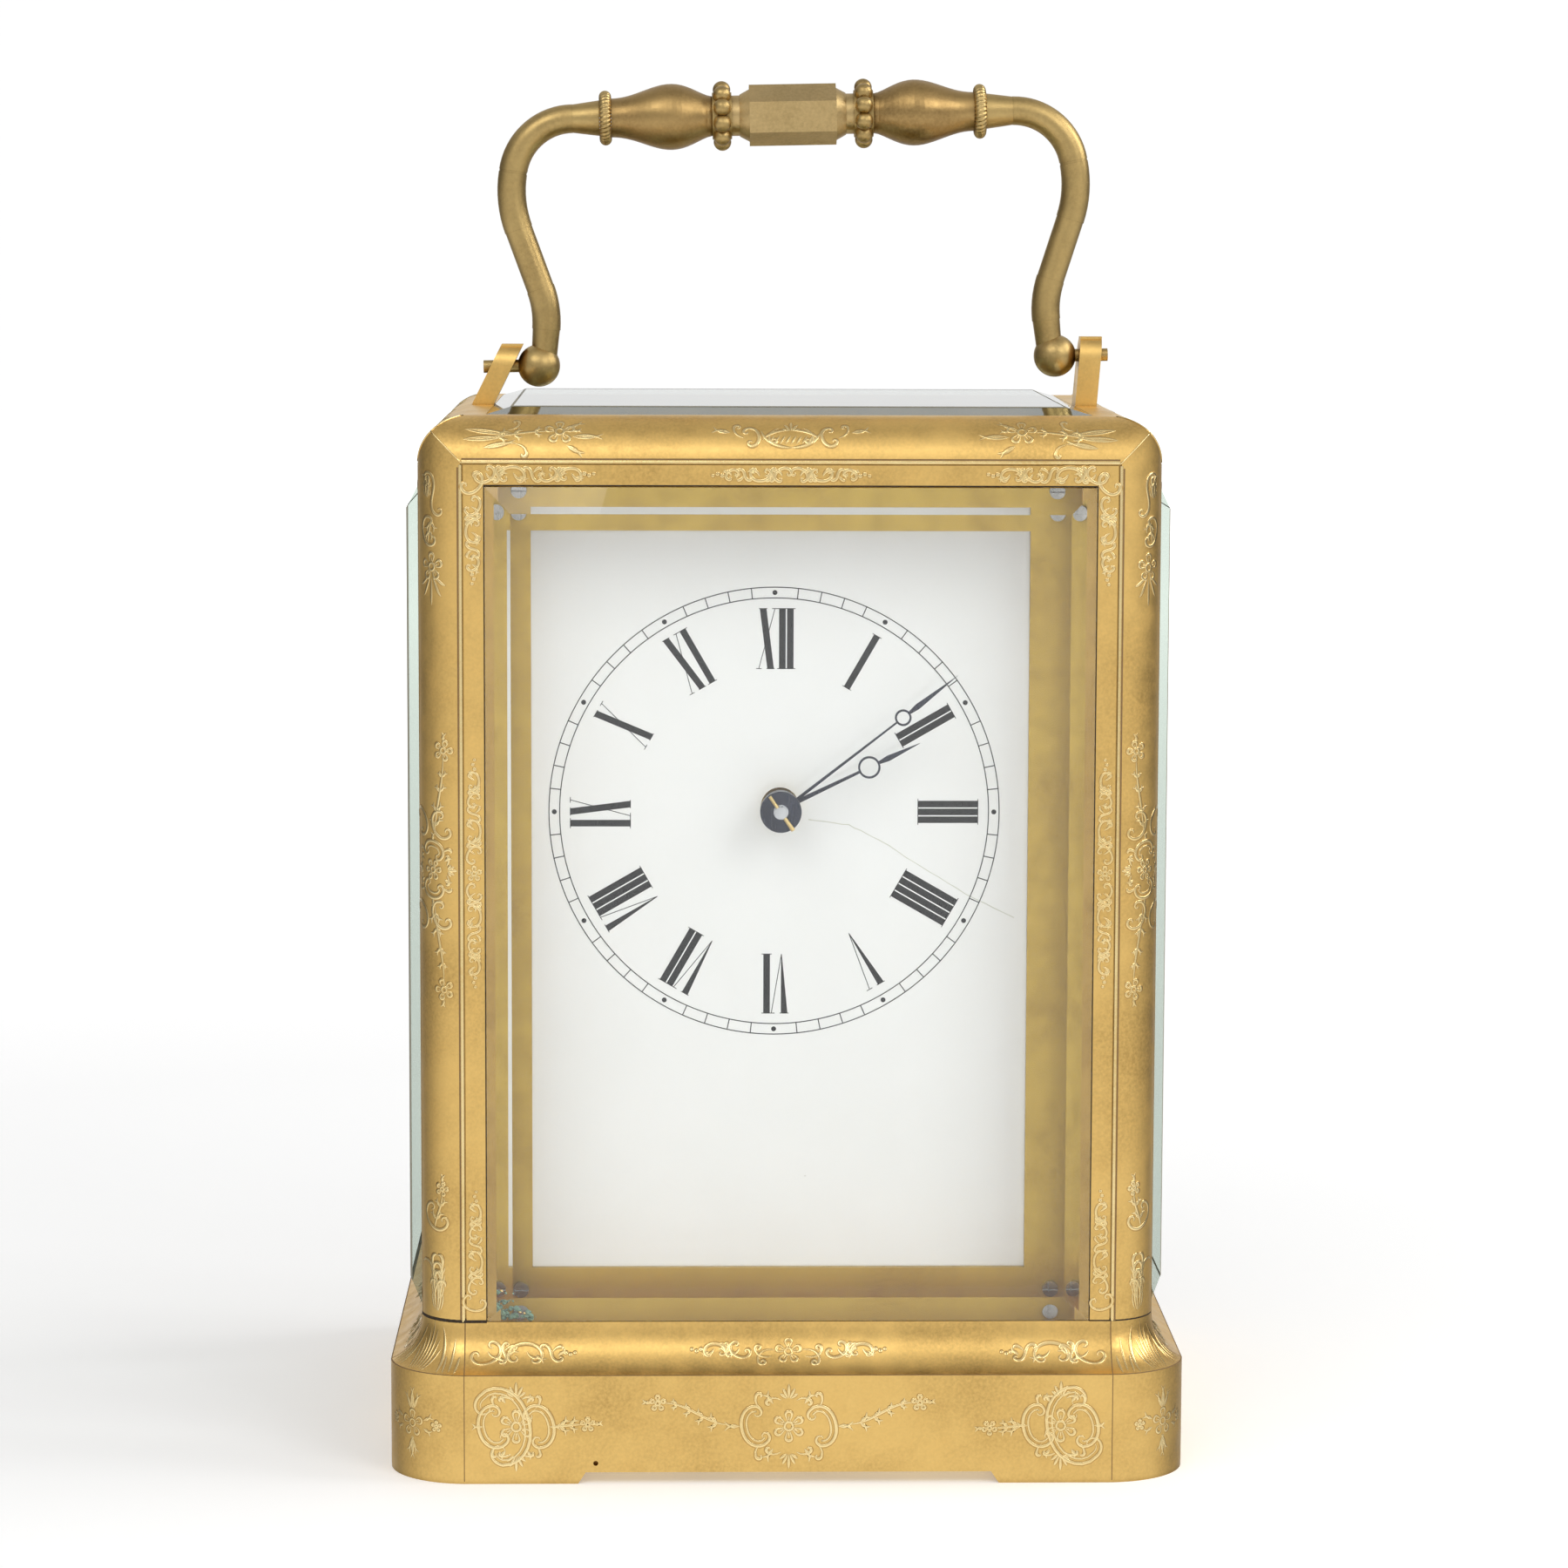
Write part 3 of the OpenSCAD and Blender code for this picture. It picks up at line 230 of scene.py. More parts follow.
class Shader(Nodes):
    """A Principled material in the coordinates of its object."""

    def __init__(self, name, color, metallic=0.0, roughness=0.5):
        self.mat = bpy.data.materials.new(name)
        self.mat.use_nodes = True
        super().__init__(self.mat.node_tree)
        self.bsdf = self.tree.nodes["Principled BSDF"]
        self.feed("Base Color", color)
        self.feed("Metallic", metallic)
        self.feed("Roughness", roughness)
        self.coord = self.node("TexCoord").outputs["Object"]

    def feed(self, name, value):
        """Sets an input of the Principled shader, or links an output to it."""
        self.put(value, self.bsdf.inputs[name])

    def noise(self, scale, detail=3.0, rough=0.55, stretch=(1, 1, 1)):
        """Noise over the object's own coordinates; scale is in features per metre."""
        mapping = self.node("Mapping", Scale=stretch)
        self.link(self.coord, mapping.inputs["Vector"])
        made = self.node("TexNoise", Scale=scale, Detail=detail, Roughness=rough)
        self.link(mapping.outputs["Vector"], made.inputs["Vector"])
        return made.outputs["Fac"]

    def bump(self, height, strength, distance):
        """Chains one more bump onto the surface; distance is in millimetres."""
        made = self.node("Bump", Strength=strength, Distance=distance * MM)
        self.link(height, made.inputs["Height"])
        normal = self.bsdf.inputs["Normal"]
        if normal.links:
            self.link(normal.links[0].from_socket, made.inputs["Normal"])
        self.link(made.outputs["Normal"], normal)

    def show(self, share, first, second):
        """Puts a mix of two shaders on the surface."""
        mixer = self.node("MixShader")
        for out, socket in zip((share, first.outputs[0], second.outputs[0]), mixer.inputs):
            self.link(out, socket)
        self.link(mixer.outputs[0], self.tree.nodes["Material Output"].inputs["Surface"])

    def corners(self, reach, samples=4):
        """Near 0 in creases and beside engraved lines, 1 in the open."""
        made = self.node("AmbientOcclusion", Distance=reach * MM)
        made.samples = samples
        return made.outputs["AO"]


def gilt_metal(name, color, dark, rough, dirt_and_shade_share, grain=0.5):
    """Fire-gilt brass: matt golden grain, soft clouds of tone, and creases darkened by grime and painted
    shade.
    """
    s = Shader(name, color, 1.0, rough)
    clouds = s.noise(70, 4, 0.6)
    fine = s.noise(2600, 2, 0.6)
    tone = s.ramp(clouds, [(0.30, dark), (0.62, color)])
    light = tuple(min(1, c * 1.12) for c in color)
    grained = s.mix(s.spread(fine, 0.0, 0.55), tone, light)
    # ambient occlusion darkens the colour in creases and beside engraving: grime, and painted shade
    dirt_and_shade = s.ramp(s.corners(1.0), [(0.15, tuple(c * 0.45 for c in dark)), (0.8, (1, 1, 1))])
    s.feed("Base Color", s.mix(dirt_and_shade_share, grained, dirt_and_shade, "MULTIPLY"))
    s.feed("Roughness", s.spread(s.noise(420, 3), rough - 0.06, rough + 0.09))
    s.bump(s.noise(5200, 2, 0.7), grain, 0.02)
    s.bump(s.noise(900, 3, 0.5), 0.25, 0.02)
    return s.mat


def grained_brass(name, color, stretch, rough=0.26):
    """Brass with a straight polishing grain along one direction, slightly uneven in colour."""
    s = Shader(name, color, 1.0, rough)
    lines = s.noise(1500, 3, 0.6, stretch)
    dark = tuple(c * 0.72 for c in color)
    clouds = s.ramp(s.noise(90, 4), [(0.3, dark), (0.6, color)])
    s.feed("Base Color", s.mix(s.spread(lines, 0.0, 0.5), clouds, dark))
    s.feed("Roughness", s.spread(lines, rough - 0.05, rough + 0.12))
    s.bump(lines, 0.25, 0.01)
    return s.mat


def steel(name, color, rough):
    """Polished steel with faint hairlines and a trace of uneven tone."""
    s = Shader(name, color, 1.0, rough)
    hair = s.noise(2400, 2, 0.6, (1, 1, 0.08))
    dark = tuple(c * 0.6 for c in color)
    s.feed("Base Color", s.ramp(s.noise(260, 4), [(0.32, dark), (0.58, color)]))
    s.feed("Roughness", s.spread(hair, rough - 0.06, rough + 0.1))
    s.bump(hair, 0.2, 0.008)
    return s.mat


def fired_enamel():
    """White dial enamel: glossy, with a faint orange-peel and a few dark specks."""
    s = Shader("enamel_white", (0.86, 0.87, 0.86), 0.0, 0.16)
    specks = s.ramp(s.noise(1500, 1, 0.4), [(0.10, (0.35, 0.33, 0.30)), (0.16, (1, 1, 1))])
    tone = s.ramp(s.noise(45, 3), [(0.3, (0.93, 0.935, 0.925)), (0.7, (0.96, 0.965, 0.96))])
    s.feed("Base Color", s.mix(1.0, tone, specks, "MULTIPLY"))
    s.feed("Roughness", s.spread(s.noise(300, 2), 0.12, 0.22))
    s.bump(s.noise(420, 2, 0.4), 0.08, 0.02)
    s.feed("Coat Weight", 0.4)
    return s.mat


def clear_glass():
    """Old bevelled glass, faintly green, that lets lamps through."""
    s = Shader("glass_bevelled", (0.985, 0.995, 0.99), 0.0, 0.0)
    s.feed("Transmission Weight", 1.0)
    s.feed("IOR", 1.5)
    s.bump(s.noise(60, 2, 0.4), 0.03, 0.02)
    path = s.node("LightPath")
    clear = s.node("BsdfTransparent", Color=(0.98, 0.99, 0.985, 1))
    s.show(path.outputs["Is Shadow Ray"], s.bsdf, clear)
    return s.mat


def thin_glass(name, bevel_share):
    """Bevelled glass as a thin tinted sheet: clear, mirror-like at a slant, pale in its bevels."""
    s = Shader(name, (0.82, 0.88, 0.86), 1.0, 0.03)
    s.bump(s.noise(60, 2, 0.4), 0.03, 0.02)
    tint = s.ramp(s.noise(120, 2), [(0.3, (0.78, 0.84, 0.82)), (0.7, (0.86, 0.91, 0.89))])
    s.feed("Base Color", tint)
    facing = s.node("LayerWeight", Blend=0.5).outputs["Facing"]
    clear = s.node("BsdfTransparent")
    through = s.ramp(facing, [(0.3, (0.93, 0.96, 0.94)), (0.95, (0.74, 0.80, 0.75))])
    s.link(through, clear.inputs["Color"])
    geometry = s.node("NewGeometry")
    outer = s.math("SUBTRACT", s.math("POWER", facing, 4.0), geometry.outputs["Backfacing"])
    normal = s.node("SeparateXYZ")
    s.link(s.vector("ABSOLUTE", geometry.outputs["True Normal"]).outputs[0], normal.inputs[0])
    x, y, z = normal.outputs
    square = s.math("MAXIMUM", s.math("MAXIMUM", x, y), z)
    bevelled = s.spread(square, bevel_share, 0.05, start=0.97, end=0.995)
    s.show(s.math("MAXIMUM", outer, bevelled), clear, s.bsdf)
    return s.mat


def fine_paint(name, color, rough, variation=0.5):
    """A thin fired or dried layer: print on the dial, grime, corrosion, painted shade in creases and
    dark strips on the glass.
    """
    s = Shader(name, color, 0.0, rough)
    faded = tuple(c + (0.25 - c) * 0.25 * variation for c in color)
    s.feed("Base Color", s.ramp(s.noise(1800, 3), [(0.35, color), (0.75, faded)]))
    s.feed("Roughness", s.spread(s.noise(900, 2), rough - 0.08, rough + 0.1))
    s.bump(s.noise(3000, 2), 0.3, 0.01)
    s.feed("Specular IOR Level", 0.15)
    return s.mat


def ruby():
    """A polished red jewel, uneven in its depth."""
    s = Shader("ruby_jewel", (0.62, 0.02, 0.10), 0.0, 0.06)
    s.feed("Coat Weight", 1.0)
    depth = s.ramp(s.noise(3000, 2), [(0.3, (0.5, 0.01, 0.07)), (0.7, (0.75, 0.05, 0.16))])
    s.feed("Base Color", depth)
    s.feed("Roughness", s.spread(s.noise(2000, 2), 0.04, 0.12))
    return s.mat


# gilt: name, colour, darker tone, roughness, grime and painted shade in the creases, grain
GILT = gilt_metal("gilt_case", (0.87, 0.575, 0.19), (0.60, 0.38, 0.12), 0.36, 0.75)
# polished gilt, lighter than the case: its lighter colour is a painted highlight on cuts, fillets and
# flakes
GILT_PAINTED_HIGHLIGHT = gilt_metal("gilt_cut_painted_highlight", (1.0, 0.76, 0.38), (0.85, 0.58, 0.22), 0.18, 0.35, 0.2)
# darker gilt for the beds beside the cuts: painted shade
GILT_SHADE_BED = gilt_metal("gilt_groove_painted_shade", (0.62, 0.39, 0.13), (0.48, 0.29, 0.09), 0.45, 0.4, 0.3)
GILT_INNER = gilt_metal("gilt_inner", (0.84, 0.58, 0.17), (0.64, 0.42, 0.11), 0.36, 0.6, 0.6)
GILT_MASK = gilt_metal("gilt_mask", (0.54, 0.37, 0.075), (0.45, 0.29, 0.06), 0.40, 0.5, 0.7)
GILT_WORN = gilt_metal("gilt_handle", (0.54, 0.385, 0.155), (0.33, 0.22, 0.085), 0.38, 0.8, 0.8)
GILT_DARK = gilt_metal("gilt_vases", (0.46, 0.305, 0.12), (0.26, 0.16, 0.06), 0.34, 0.8, 0.6)
GILT_HEX = gilt_metal("gilt_hexagon", (0.62, 0.45, 0.21), (0.40, 0.28, 0.115), 0.36, 0.8, 0.7)
GILT_ROPE = gilt_metal("gilt_rope", (0.62, 0.45, 0.19), (0.36, 0.24, 0.09), 0.32, 0.9, 0.5)
GILT_PLATFORM = gilt_metal("gilt_platform", (0.90, 0.65, 0.27), (0.75, 0.5, 0.18), 0.30, 0.4, 0.3)
BRASS_PLATE = grained_brass("brass_plate", (0.78, 0.58, 0.25), (1, 1, 0.06))
BRASS_WHEEL = grained_brass("brass_wheel", (0.84, 0.64, 0.29), (1, 0.1, 1), 0.2)
STEEL = steel("steel_polished", (0.55, 0.56, 0.58), 0.24)
STEEL_DARK = steel("steel_dull", (0.40, 0.39, 0.37), 0.2)
STEEL_BLUED = steel("steel_blued", (0.035, 0.04, 0.06), 0.3)
ENAMEL = fired_enamel()
GLASS = clear_glass()
GLASS_SIDE = thin_glass("glass_side", 0.14)
GLASS_TOP = thin_glass("glass_top", 0.55)
INK = fine_paint("dial_ink", (0.006, 0.006, 0.008), 0.35, 0.1)
# dark strips along the inner edges of the glasses' bevels
GLASS_EDGE_DARK = fine_paint("glass_arris", (0.30, 0.285, 0.22), 0.45)
CRACK = fine_paint("dial_crack", (0.66, 0.67, 0.58), 0.5)
# dark lines in the creases of the mouldings: painted shade
CREASE_SHADE = fine_paint("crease_painted_shade", (0.23, 0.135, 0.05), 0.6)
GRIME = fine_paint("joint_grime", (0.035, 0.022, 0.01), 0.7)
VERDIGRIS = fine_paint("verdigris", (0.20, 0.33, 0.24), 0.8, 1.0)
RUBY = ruby()

# ---------- CAD nodes that keep their shape ----------

LOOKS = {
    GILT: "plinth case_frame handle_lugs door_frame door_knob",
    GILT_INNER: "glass_strips",
    GILT_MASK: "dial_mask",
    GILT_WORN: "handle_arms bead_rings rope_rings handle_pivots",
    GILT_DARK: "grip_vases",
    GILT_HEX: "grip_centre",
    GILT_PLATFORM: "platform balance_cock lever_bridge",
    BRASS_PLATE: "bottom_plate front_plate back_plate plate_pillars escape_potence barrel_drum "
    "barrel_cover taper_pin",
    BRASS_WHEEL: "centre_wheel intermediate_wheel third_wheel contrate_wheel balance_wheel "
    "minute_wheel hour_wheel",
    STEEL_DARK: "mask_screws",
    STEEL: "pillar_screws seat_screws platform_screws regulator click_spring click "
    "centre_arbor cannon_pinion intermediate_arbor mainspring barrel_arbor ratchet_wheel third_arbor "
    "contrate_arbor escape_wheel escape_arbor pallet_lever balance_staff door_pins",
    STEEL_BLUED: "minute_hand hour_hand hairspring",
    ENAMEL: "dial",
    GLASS: "front_glass door_glass",
    GLASS_SIDE: "side_glasses",
    GLASS_TOP: "top_glass",
}


def dress_nodes():
    for material, names in LOOKS.items():
        for name in names.split():
            NODES[name].data.materials.clear()
            NODES[name].data.materials.append(material)


# ---------- surfaces that carry engraving ----------


class Face:
    """One upright side of the clock. across runs to the right as seen from outside."""

    def __init__(self, quarter):
        turn = radians(90 * quarter)
        self.across = Vector((cos(turn), sin(turn), 0))
        self.out = Vector((sin(turn), -cos(turn), 0))
        self.half, self.depth = (HALF_D, HALF_W) if quarter % 2 else (HALF_W, HALF_D)
        self.edge = self.half - EDGE_R

    def at(self, u, out, z):
        return self.across * u + self.out * out + Vector((0, 0, z))

    def flat(self, u, v, h):
        return self.at(u, self.depth + h, v)

    def plinth(self, u, v, h):
        return self.at(u, self.depth + OVERHANG + h, v)

    def top_round(self, u, v, h):
        """v runs up the quarter round from its crease."""
        a = ROUND_START + v / ROUND_R
        r = ROUND_R + h
        return self.at(u, self.depth - ROUND_IN + r * cos(a), CASE_TOP - ROUND_IN + r * sin(a))

    def cove(self, u, v, h):
        """v runs up the cove from the edge of the plinth."""
        a = (COVE_LENGTH - v) / COVE_R
        r = COVE_R - h
        return self.at(u, self.depth + COVE_R - r * cos(a), JOINT_Z - r * sin(a))

    def round(self, side, angle, r, z):
        """A point at distance r from the upright axis that a post and the corner of the base share."""
        across, out = self.half - ROUND_IN + r * sin(angle), self.depth - ROUND_IN + r * cos(angle)
        return self.at(side * across, out, z)

    def post(self, side):
        """u runs round the post from its front crease."""
        return lambda u, v, h: self.round(side, ROUND_START + u / ROUND_R, ROUND_R + h, v)

    def cove_corner(self, side):
        """u runs round the corner, measured on the plinth's edge; v runs up the cove."""

        def surface(u, v, h):
            a = (COVE_LENGTH - v) / COVE_R
            q = BASE_R - OVERHANG + COVE_R - (COVE_R - h) * cos(a)
            return self.round(side, BASE_START + u / BASE_R, q, JOINT_Z - (COVE_R - h) * sin(a))

        return surface

    def plinth_corner(self, side):
        """u runs round the corner from its crease."""
        return lambda u, v, h: self.round(side, BASE_START + u / BASE_R, BASE_R + h, v)


FACES = [Face(quarter) for quarter in range(4)]

# ---------- pen strokes: the parts of the engraved ornament ----------

PEN = 0.42  # width of a cut at its fullest
CUT = ((-0.5, -0.06), (-0.28, 0.17), (0.0, 0.02), (0.28, 0.17), (0.5, -0.06))  # a burr each side of a V
SHADE = ((-0.86, -0.05), (-0.72, 0.03), (0.72, 0.03), (0.86, -0.05))  # a darker bed beside a cut: painted shade along its edges
LINE = ((-0.5, -0.05), (-0.35, 0.10), (0.35, 0.10), (0.5, -0.05))  # a low flat line
GROOVE = [CUT]  # its last entry is the section that ornament is laid with at the moment


def pen(start, heading, parts, width=PEN):
    """A stroke of smoothly changing bend; a part is its length and its first and last bend per mm."""
    u, v = start
    angle, points = radians(heading), [(u, v)]
    for length, first, last in parts:
        steps = max(3, int(length * max(abs(first), abs(last), 40) / 22))
        for k in range(steps):
            bend = first + (last - first) * (k + 0.5) / steps
            angle += radians(bend) * length / steps
            u += cos(angle) * length / steps
            v += sin(angle) * length / steps
            points.append((u, v))
    return points, swell(len(points), width)


def hump(t):
    """0 at both ends of 0..1 and 1 in the middle."""
    return max(0.0, sin(pi * t))


def swell(count, width, thin=0.22):
    """Widths that grow from a fine start and taper to a fine end."""
    return [width * (thin + (1 - thin) * hump(k / (count - 1)) ** 0.7) for k in range(count)]


def moved(strokes, to=(0, 0), turn=0, scale=1, flip=False):
    """Strokes scaled, mirrored in v if flip, turned and moved; a cut keeps its width."""
    c, s, side = cos(radians(turn)), sin(radians(turn)), -1 if flip else 1
    out = []
    for points, widths in strokes:
        turned = []
        for u, v in points:
            a, b = u * scale, v * scale * side
            turned.append((to[0] + a * c - b * s, to[1] + a * s + b * c))
        out.append((turned, widths))
    return out


def extent(strokes, axis):
    values = [p[axis] for points, _ in strokes for p in points]
    return min(values), max(values)


def sized(strokes, height):
    """Scales strokes to a height, starting at u = 0 and centred in v."""
    low, high = extent(strokes, 1)
    scaled = moved(strokes, scale=height / (high - low))
    left, (low, high) = extent(scaled, 0)[0], extent(scaled, 1)
    return moved(scaled, (-left, -(low + high) / 2))


def c_scroll():
    return [pen((0, 0), 0, [(1.0, 400, 110), (1.7, 110, 28), (1.7, 28, 110), (1.0, 110, 400)])]


def s_scroll():
    return [pen((0, 0), 0, [(1.0, 400, 110), (2.0, 110, 0), (2.0, 0, -110), (1.0, -110, -400)])]


def finer(strokes, share=0.72):
    """The same strokes, cut more finely."""
    return [(points, [w * share for w in widths]) for points, widths in strokes]


def doubled(strokes, gap=0.62):
    """Strokes with a finer line inside the middle of each."""
    extra = []
    for points, _ in strokes:
        inner, trim = [], len(points) // 6
        for i in range(trim + 1, len(points) - trim - 1):
            du, dv = points[i + 1][0] - points[i - 1][0], points[i + 1][1] - points[i - 1][1]
            size = hypot(du, dv) or 1
            inner.append((points[i][0] - dv / size * gap, points[i][1] + du / size * gap))
        extra.append((inner, swell(len(inner), PEN * 0.6)))
    return strokes + extra


def scroll(turn, height, kind=c_scroll):
    """One scroll, turned and then sized."""
    return sized(moved(kind(), turn=turn), height)


def curl(length):
    return [pen((0, 0), 0, [(length * 0.55, 12, 60), (length * 0.45, 60, 300)])]


def leaf(length=1.6, fat=38):
    """An almond outline with a short vein."""
    bend = 2 * fat / length
    outline = []
    for side in (1, -1):
        curve = [(length * 1.08, -side * bend, -side * bend)]
        outline.append(pen((0, 0), side * fat, curve, PEN * 0.8))
    return outline + [pen((length * 0.2, 0), 0, [(length * 0.5, 0, 0)], PEN * 0.6)]


def ring(radius, width=PEN * 0.7):
    around = [(radius * cos(2 * pi * k / 16), radius * sin(2 * pi * k / 16)) for k in range(17)]
    return [(around, [width] * 17)]


def flower(radius=1.0, petals=5, turn=90):
    """Rounded petals round a small eye."""
    eye, strokes = radius * 0.28, ring(radius * 0.28)
    for k in range(petals):
        middle, points = radians(turn + 360 * k / petals), []
        for step in range(11):
            t = step / 10
            a = middle + radians(170 / petals) * (2 * t - 1) * (0.35 + 0.65 * hump(t) ** 0.5)
            r = eye + (radius - eye) * hump(t) ** 0.45
            points.append((r * cos(a), r * sin(a)))
        strokes.append((points, swell(11, PEN * 0.9)))
        vein = [(eye * 1.5 * cos(middle), eye * 1.5 * sin(middle))]
        vein.append((radius * 0.68 * cos(middle), radius * 0.68 * sin(middle)))
        strokes.append((vein, [PEN * 0.5, PEN * 0.3]))
    return strokes


def fan(count, length, spread, hook=60):
    """Leaf fingers that spring from one point and curl outwards, the middle one longest."""
    strokes = []
    for k in range(count):
        t = 2 * k / (count - 1) - 1
        long = length * (1 - 0.42 * abs(t))
        foot, lean = (0.16 * length * t, 0.05 * length * (1 - abs(t))), 90 - spread * t
        curve = [(long * 0.6, 12 * t, 0), (long * 0.4, 0, -hook * t)]
        strokes.append(pen(foot, lean, curve, PEN * 0.85))
    return strokes


def plume(count, length, bend=26):
    """An acanthus plume: nested curving strokes that leave a stem on both sides and curl over."""
    spine = [(length * 0.55, 0, -bend * 0.5), (length * 0.45, -bend * 0.5, -bend * 2.4)]
    strokes = [pen((0, 0), 96, spine)]
    for k in range(count):
        t, long = k / count, length * (0.62 - 0.07 * k)
        for side in (1, -1):
            foot, lean = (side * 0.12, length * t * 0.62), 90 - side * (22 + 5 * k)
            curve = [(long * 0.6, side * 4, side * bend), (long * 0.4, side * bend, side * bend * 6)]
            strokes.append(pen(foot, lean, curve, PEN * 1.15))
            inner = (foot[0] + side * 0.34, foot[1] + 0.1)
            curve = [(long * 0.45, side * 6, side * bend)]
            strokes.append(pen(inner, lean - side * 5, curve, PEN * 0.6))
    return strokes


def spray(length, bend=18, leaves=3, bloom=0.9):
    """A bending stem with pairs of leaves and a flower at its end."""
    stem = pen((0, 0), 0, [(length * 0.5, bend, 0), (length * 0.5, 0, -bend)], PEN * 0.8)
    strokes = [stem]
    for k in range(leaves):
        here = stem[0][int((k + 0.7) / (leaves + 0.6) * (len(stem[0]) - 1))]
        size = 1.5 - 0.18 * k
        strokes += moved(leaf(size), here, 42) + moved(leaf(size * 0.9), here, -38)
    if bloom:
        end = stem[0][-1]
        strokes += moved(flower(bloom), (end[0] + bloom * 0.7, end[1]))
        strokes += moved(leaf(1.1), (end[0] + bloom * 1.6, end[1]), 8)
    return strokes


def scroll_run(length, height):
    """Scrolls that lean to and fro along a band and die away in leaves and dots."""
    strokes, u, k = [], 0.0, 0
    while u < length * 0.82:
        size = height * (1 - 0.35 * u / length)
        kind = c_scroll() if k % 2 == 0 else s_scroll()
        unit = sized(moved(kind, turn=-70 if k % 2 else 15, flip=k % 4 > 1), size)
        strokes += moved(unit, (u, 0))
        wide = extent(unit, 0)[1]
        strokes += moved(leaf(size * 0.6), (u + wide * 0.8, -size * 0.12), 35 if k % 2 else -30)
        tail = (u + wide * 0.55, size * 0.1)
        strokes += moved(curl(size * 0.8), tail, 60 if k % 2 else -70, flip=bool(k % 2))
        u, k = u + wide * 0.96, k + 1
    for n, dot in enumerate((0.13, 0.11, 0.08)):
        strokes += moved(ring(dot), (u + 0.5 + n * 0.55, 0.1 * (-1) ** n))
    return strokes


def cartouche(width, height):
    """C-scrolls framing a flower, with sprays to left and right and shells above and below."""
    strokes = flower(min(width, height) * 0.17, 6)
    tall, wide = height * 0.46, width * 0.5
    for side in (1, -1):
        arm = doubled(scroll(90 * side, tall))
        left, right = extent(arm, 0)
        strokes += moved(arm, (side * wide * 0.42 - (left + right) / 2, 0))
        strokes += moved(leaf(width * 0.10), (side * wide * 0.62, 0), 0 if side > 0 else 180)
        for up in (1, -1):
            turn = {(1, 1): 35, (1, -1): -35, (-1, 1): 145, (-1, -1): -145}[(side, up)]
            hand = side * up
            outer = (side * wide * 0.35, up * height * 0.20)
            strokes += moved(curl(width * 0.16), outer, turn, flip=hand < 0)
            between = (side * wide * 0.20, up * height * 0.26)
            strokes += moved(leaf(width * 0.09), between, turn + hand * 20)
            inner = (side * wide * 0.10, up * height * 0.30)
            strokes += moved(curl(width * 0.14), inner, 90 * up - hand * 55, flip=hand > 0)
    for up in (1, -1):
        strokes += moved(fan(5, height * 0.16, 55), (0, up * height * 0.32), 0 if up > 0 else 180)
    return strokes


# ---------- laying the ornament on the clock ----------

BAND_TOP, BAND_MIDDLE, BAND_FOOT = 118.0, 73.2, 22.3  # heights where scrolls start on the flat bands
POST_TOP, POST_MIDDLE, POST_FOOT = 109.6, 73.5, 20.0  # heights of a post's flower, cartouche and plume


def lay(store, surface, strokes, at=(0, 0), turn=0, flip=False, section=None, relief=1.0):
    """Strokes, moved to their place, as raised ribbons on a surface."""
    section = section or GROOVE[-1]
    for points, widths in moved(strokes, at, turn, flip=flip):
        verts, last = [], len(points) - 1
        for i, (u, v) in enumerate(points):
            before, after = points[max(i - 1, 0)], points[min(i + 1, last)]
            du, dv = after[0] - before[0], after[1] - before[1]
            size = hypot(du, dv) or 1
            for across, high in section:
                step = across * widths[i] / size
                verts.append(surface(u - dv * step, v + du * step, high * widths[i] * relief))
        add_part(store, verts, grid_faces(len(points), len(section)))


def engrave_posts(store, face):
    """Flat bands beside the glass and quarter rounds of the two posts of one face."""
    for side in (1, -1):
        band = face.edge - BAND_W / 2 + (DOOR_CLEAR if face is FACES[2] else 0)

        def flat(u, v, h, side=side, band=band):
            return face.flat(side * (band + u), v, h)

        draw = partial(lay, store, flat)
        draw(scroll(-60, 2.5), (-1.15, BAND_TOP + 1.6))
        draw(finer(scroll_run(10.5, 1.8), 0.85), (0, BAND_TOP), -90)
        for way in (1, -1):
            draw(finer(scroll_run(11.5, 1.7)), (0, BAND_MIDDLE + way * 1.2), 90 * way, flip=way < 0)
        draw(finer(flower(0.85)), (0, BAND_MIDDLE))
        draw(finer(scroll_run(12.0, 1.7)), (0, BAND_FOOT), 90)
        draw(finer(scroll(0, 1.9)), (-1.2, BAND_FOOT - 1.1))
    if face.half != HALF_W:
        return
    middle = ROUND_R * (pi / 4 - ROUND_START)
    for side in (1, -1):
        draw = partial(lay, store, face.post(side))
        draw(scroll(100, 5.0, s_scroll), (middle - 1.6, POST_TOP + 8.6))
        draw(scroll(60, 3.4), (middle - 0.6, POST_TOP + 4.2))
        draw(spray(3.4, 20, 2, 0), (middle, POST_TOP + 5.9), -90)
        draw(plume(2, 3.2, 40), (middle + 0.8, POST_TOP + 8.2))
        draw(flower(1.6), (middle, POST_TOP))
        draw(fan(5, 3.2, 60), (middle, POST_TOP - 1.2), 180)
        draw(cartouche(11, 7.0), (middle, POST_MIDDLE), 90)
        for way in (1, -1):
            draw(spray(9.6, 5 * way, 4, 1.2), (middle - 0.3, POST_MIDDLE + way * 4.0), 90 * way)
            draw(scroll(45, 3.2), (middle - 2.6, POST_MIDDLE + way * 5.4))
            draw(scroll(215, 3.2), (middle + 1.0, POST_MIDDLE - way * 5.6))
        draw(plume(4, 8.6, 24), (middle - 0.4, POST_FOOT))
        draw(scroll(20, 3.2), (middle - 2.0, POST_FOOT + 11.5))
        draw(spray(4.6, 20, 2, 0.8), (middle, POST_FOOT + 10.0), 90)


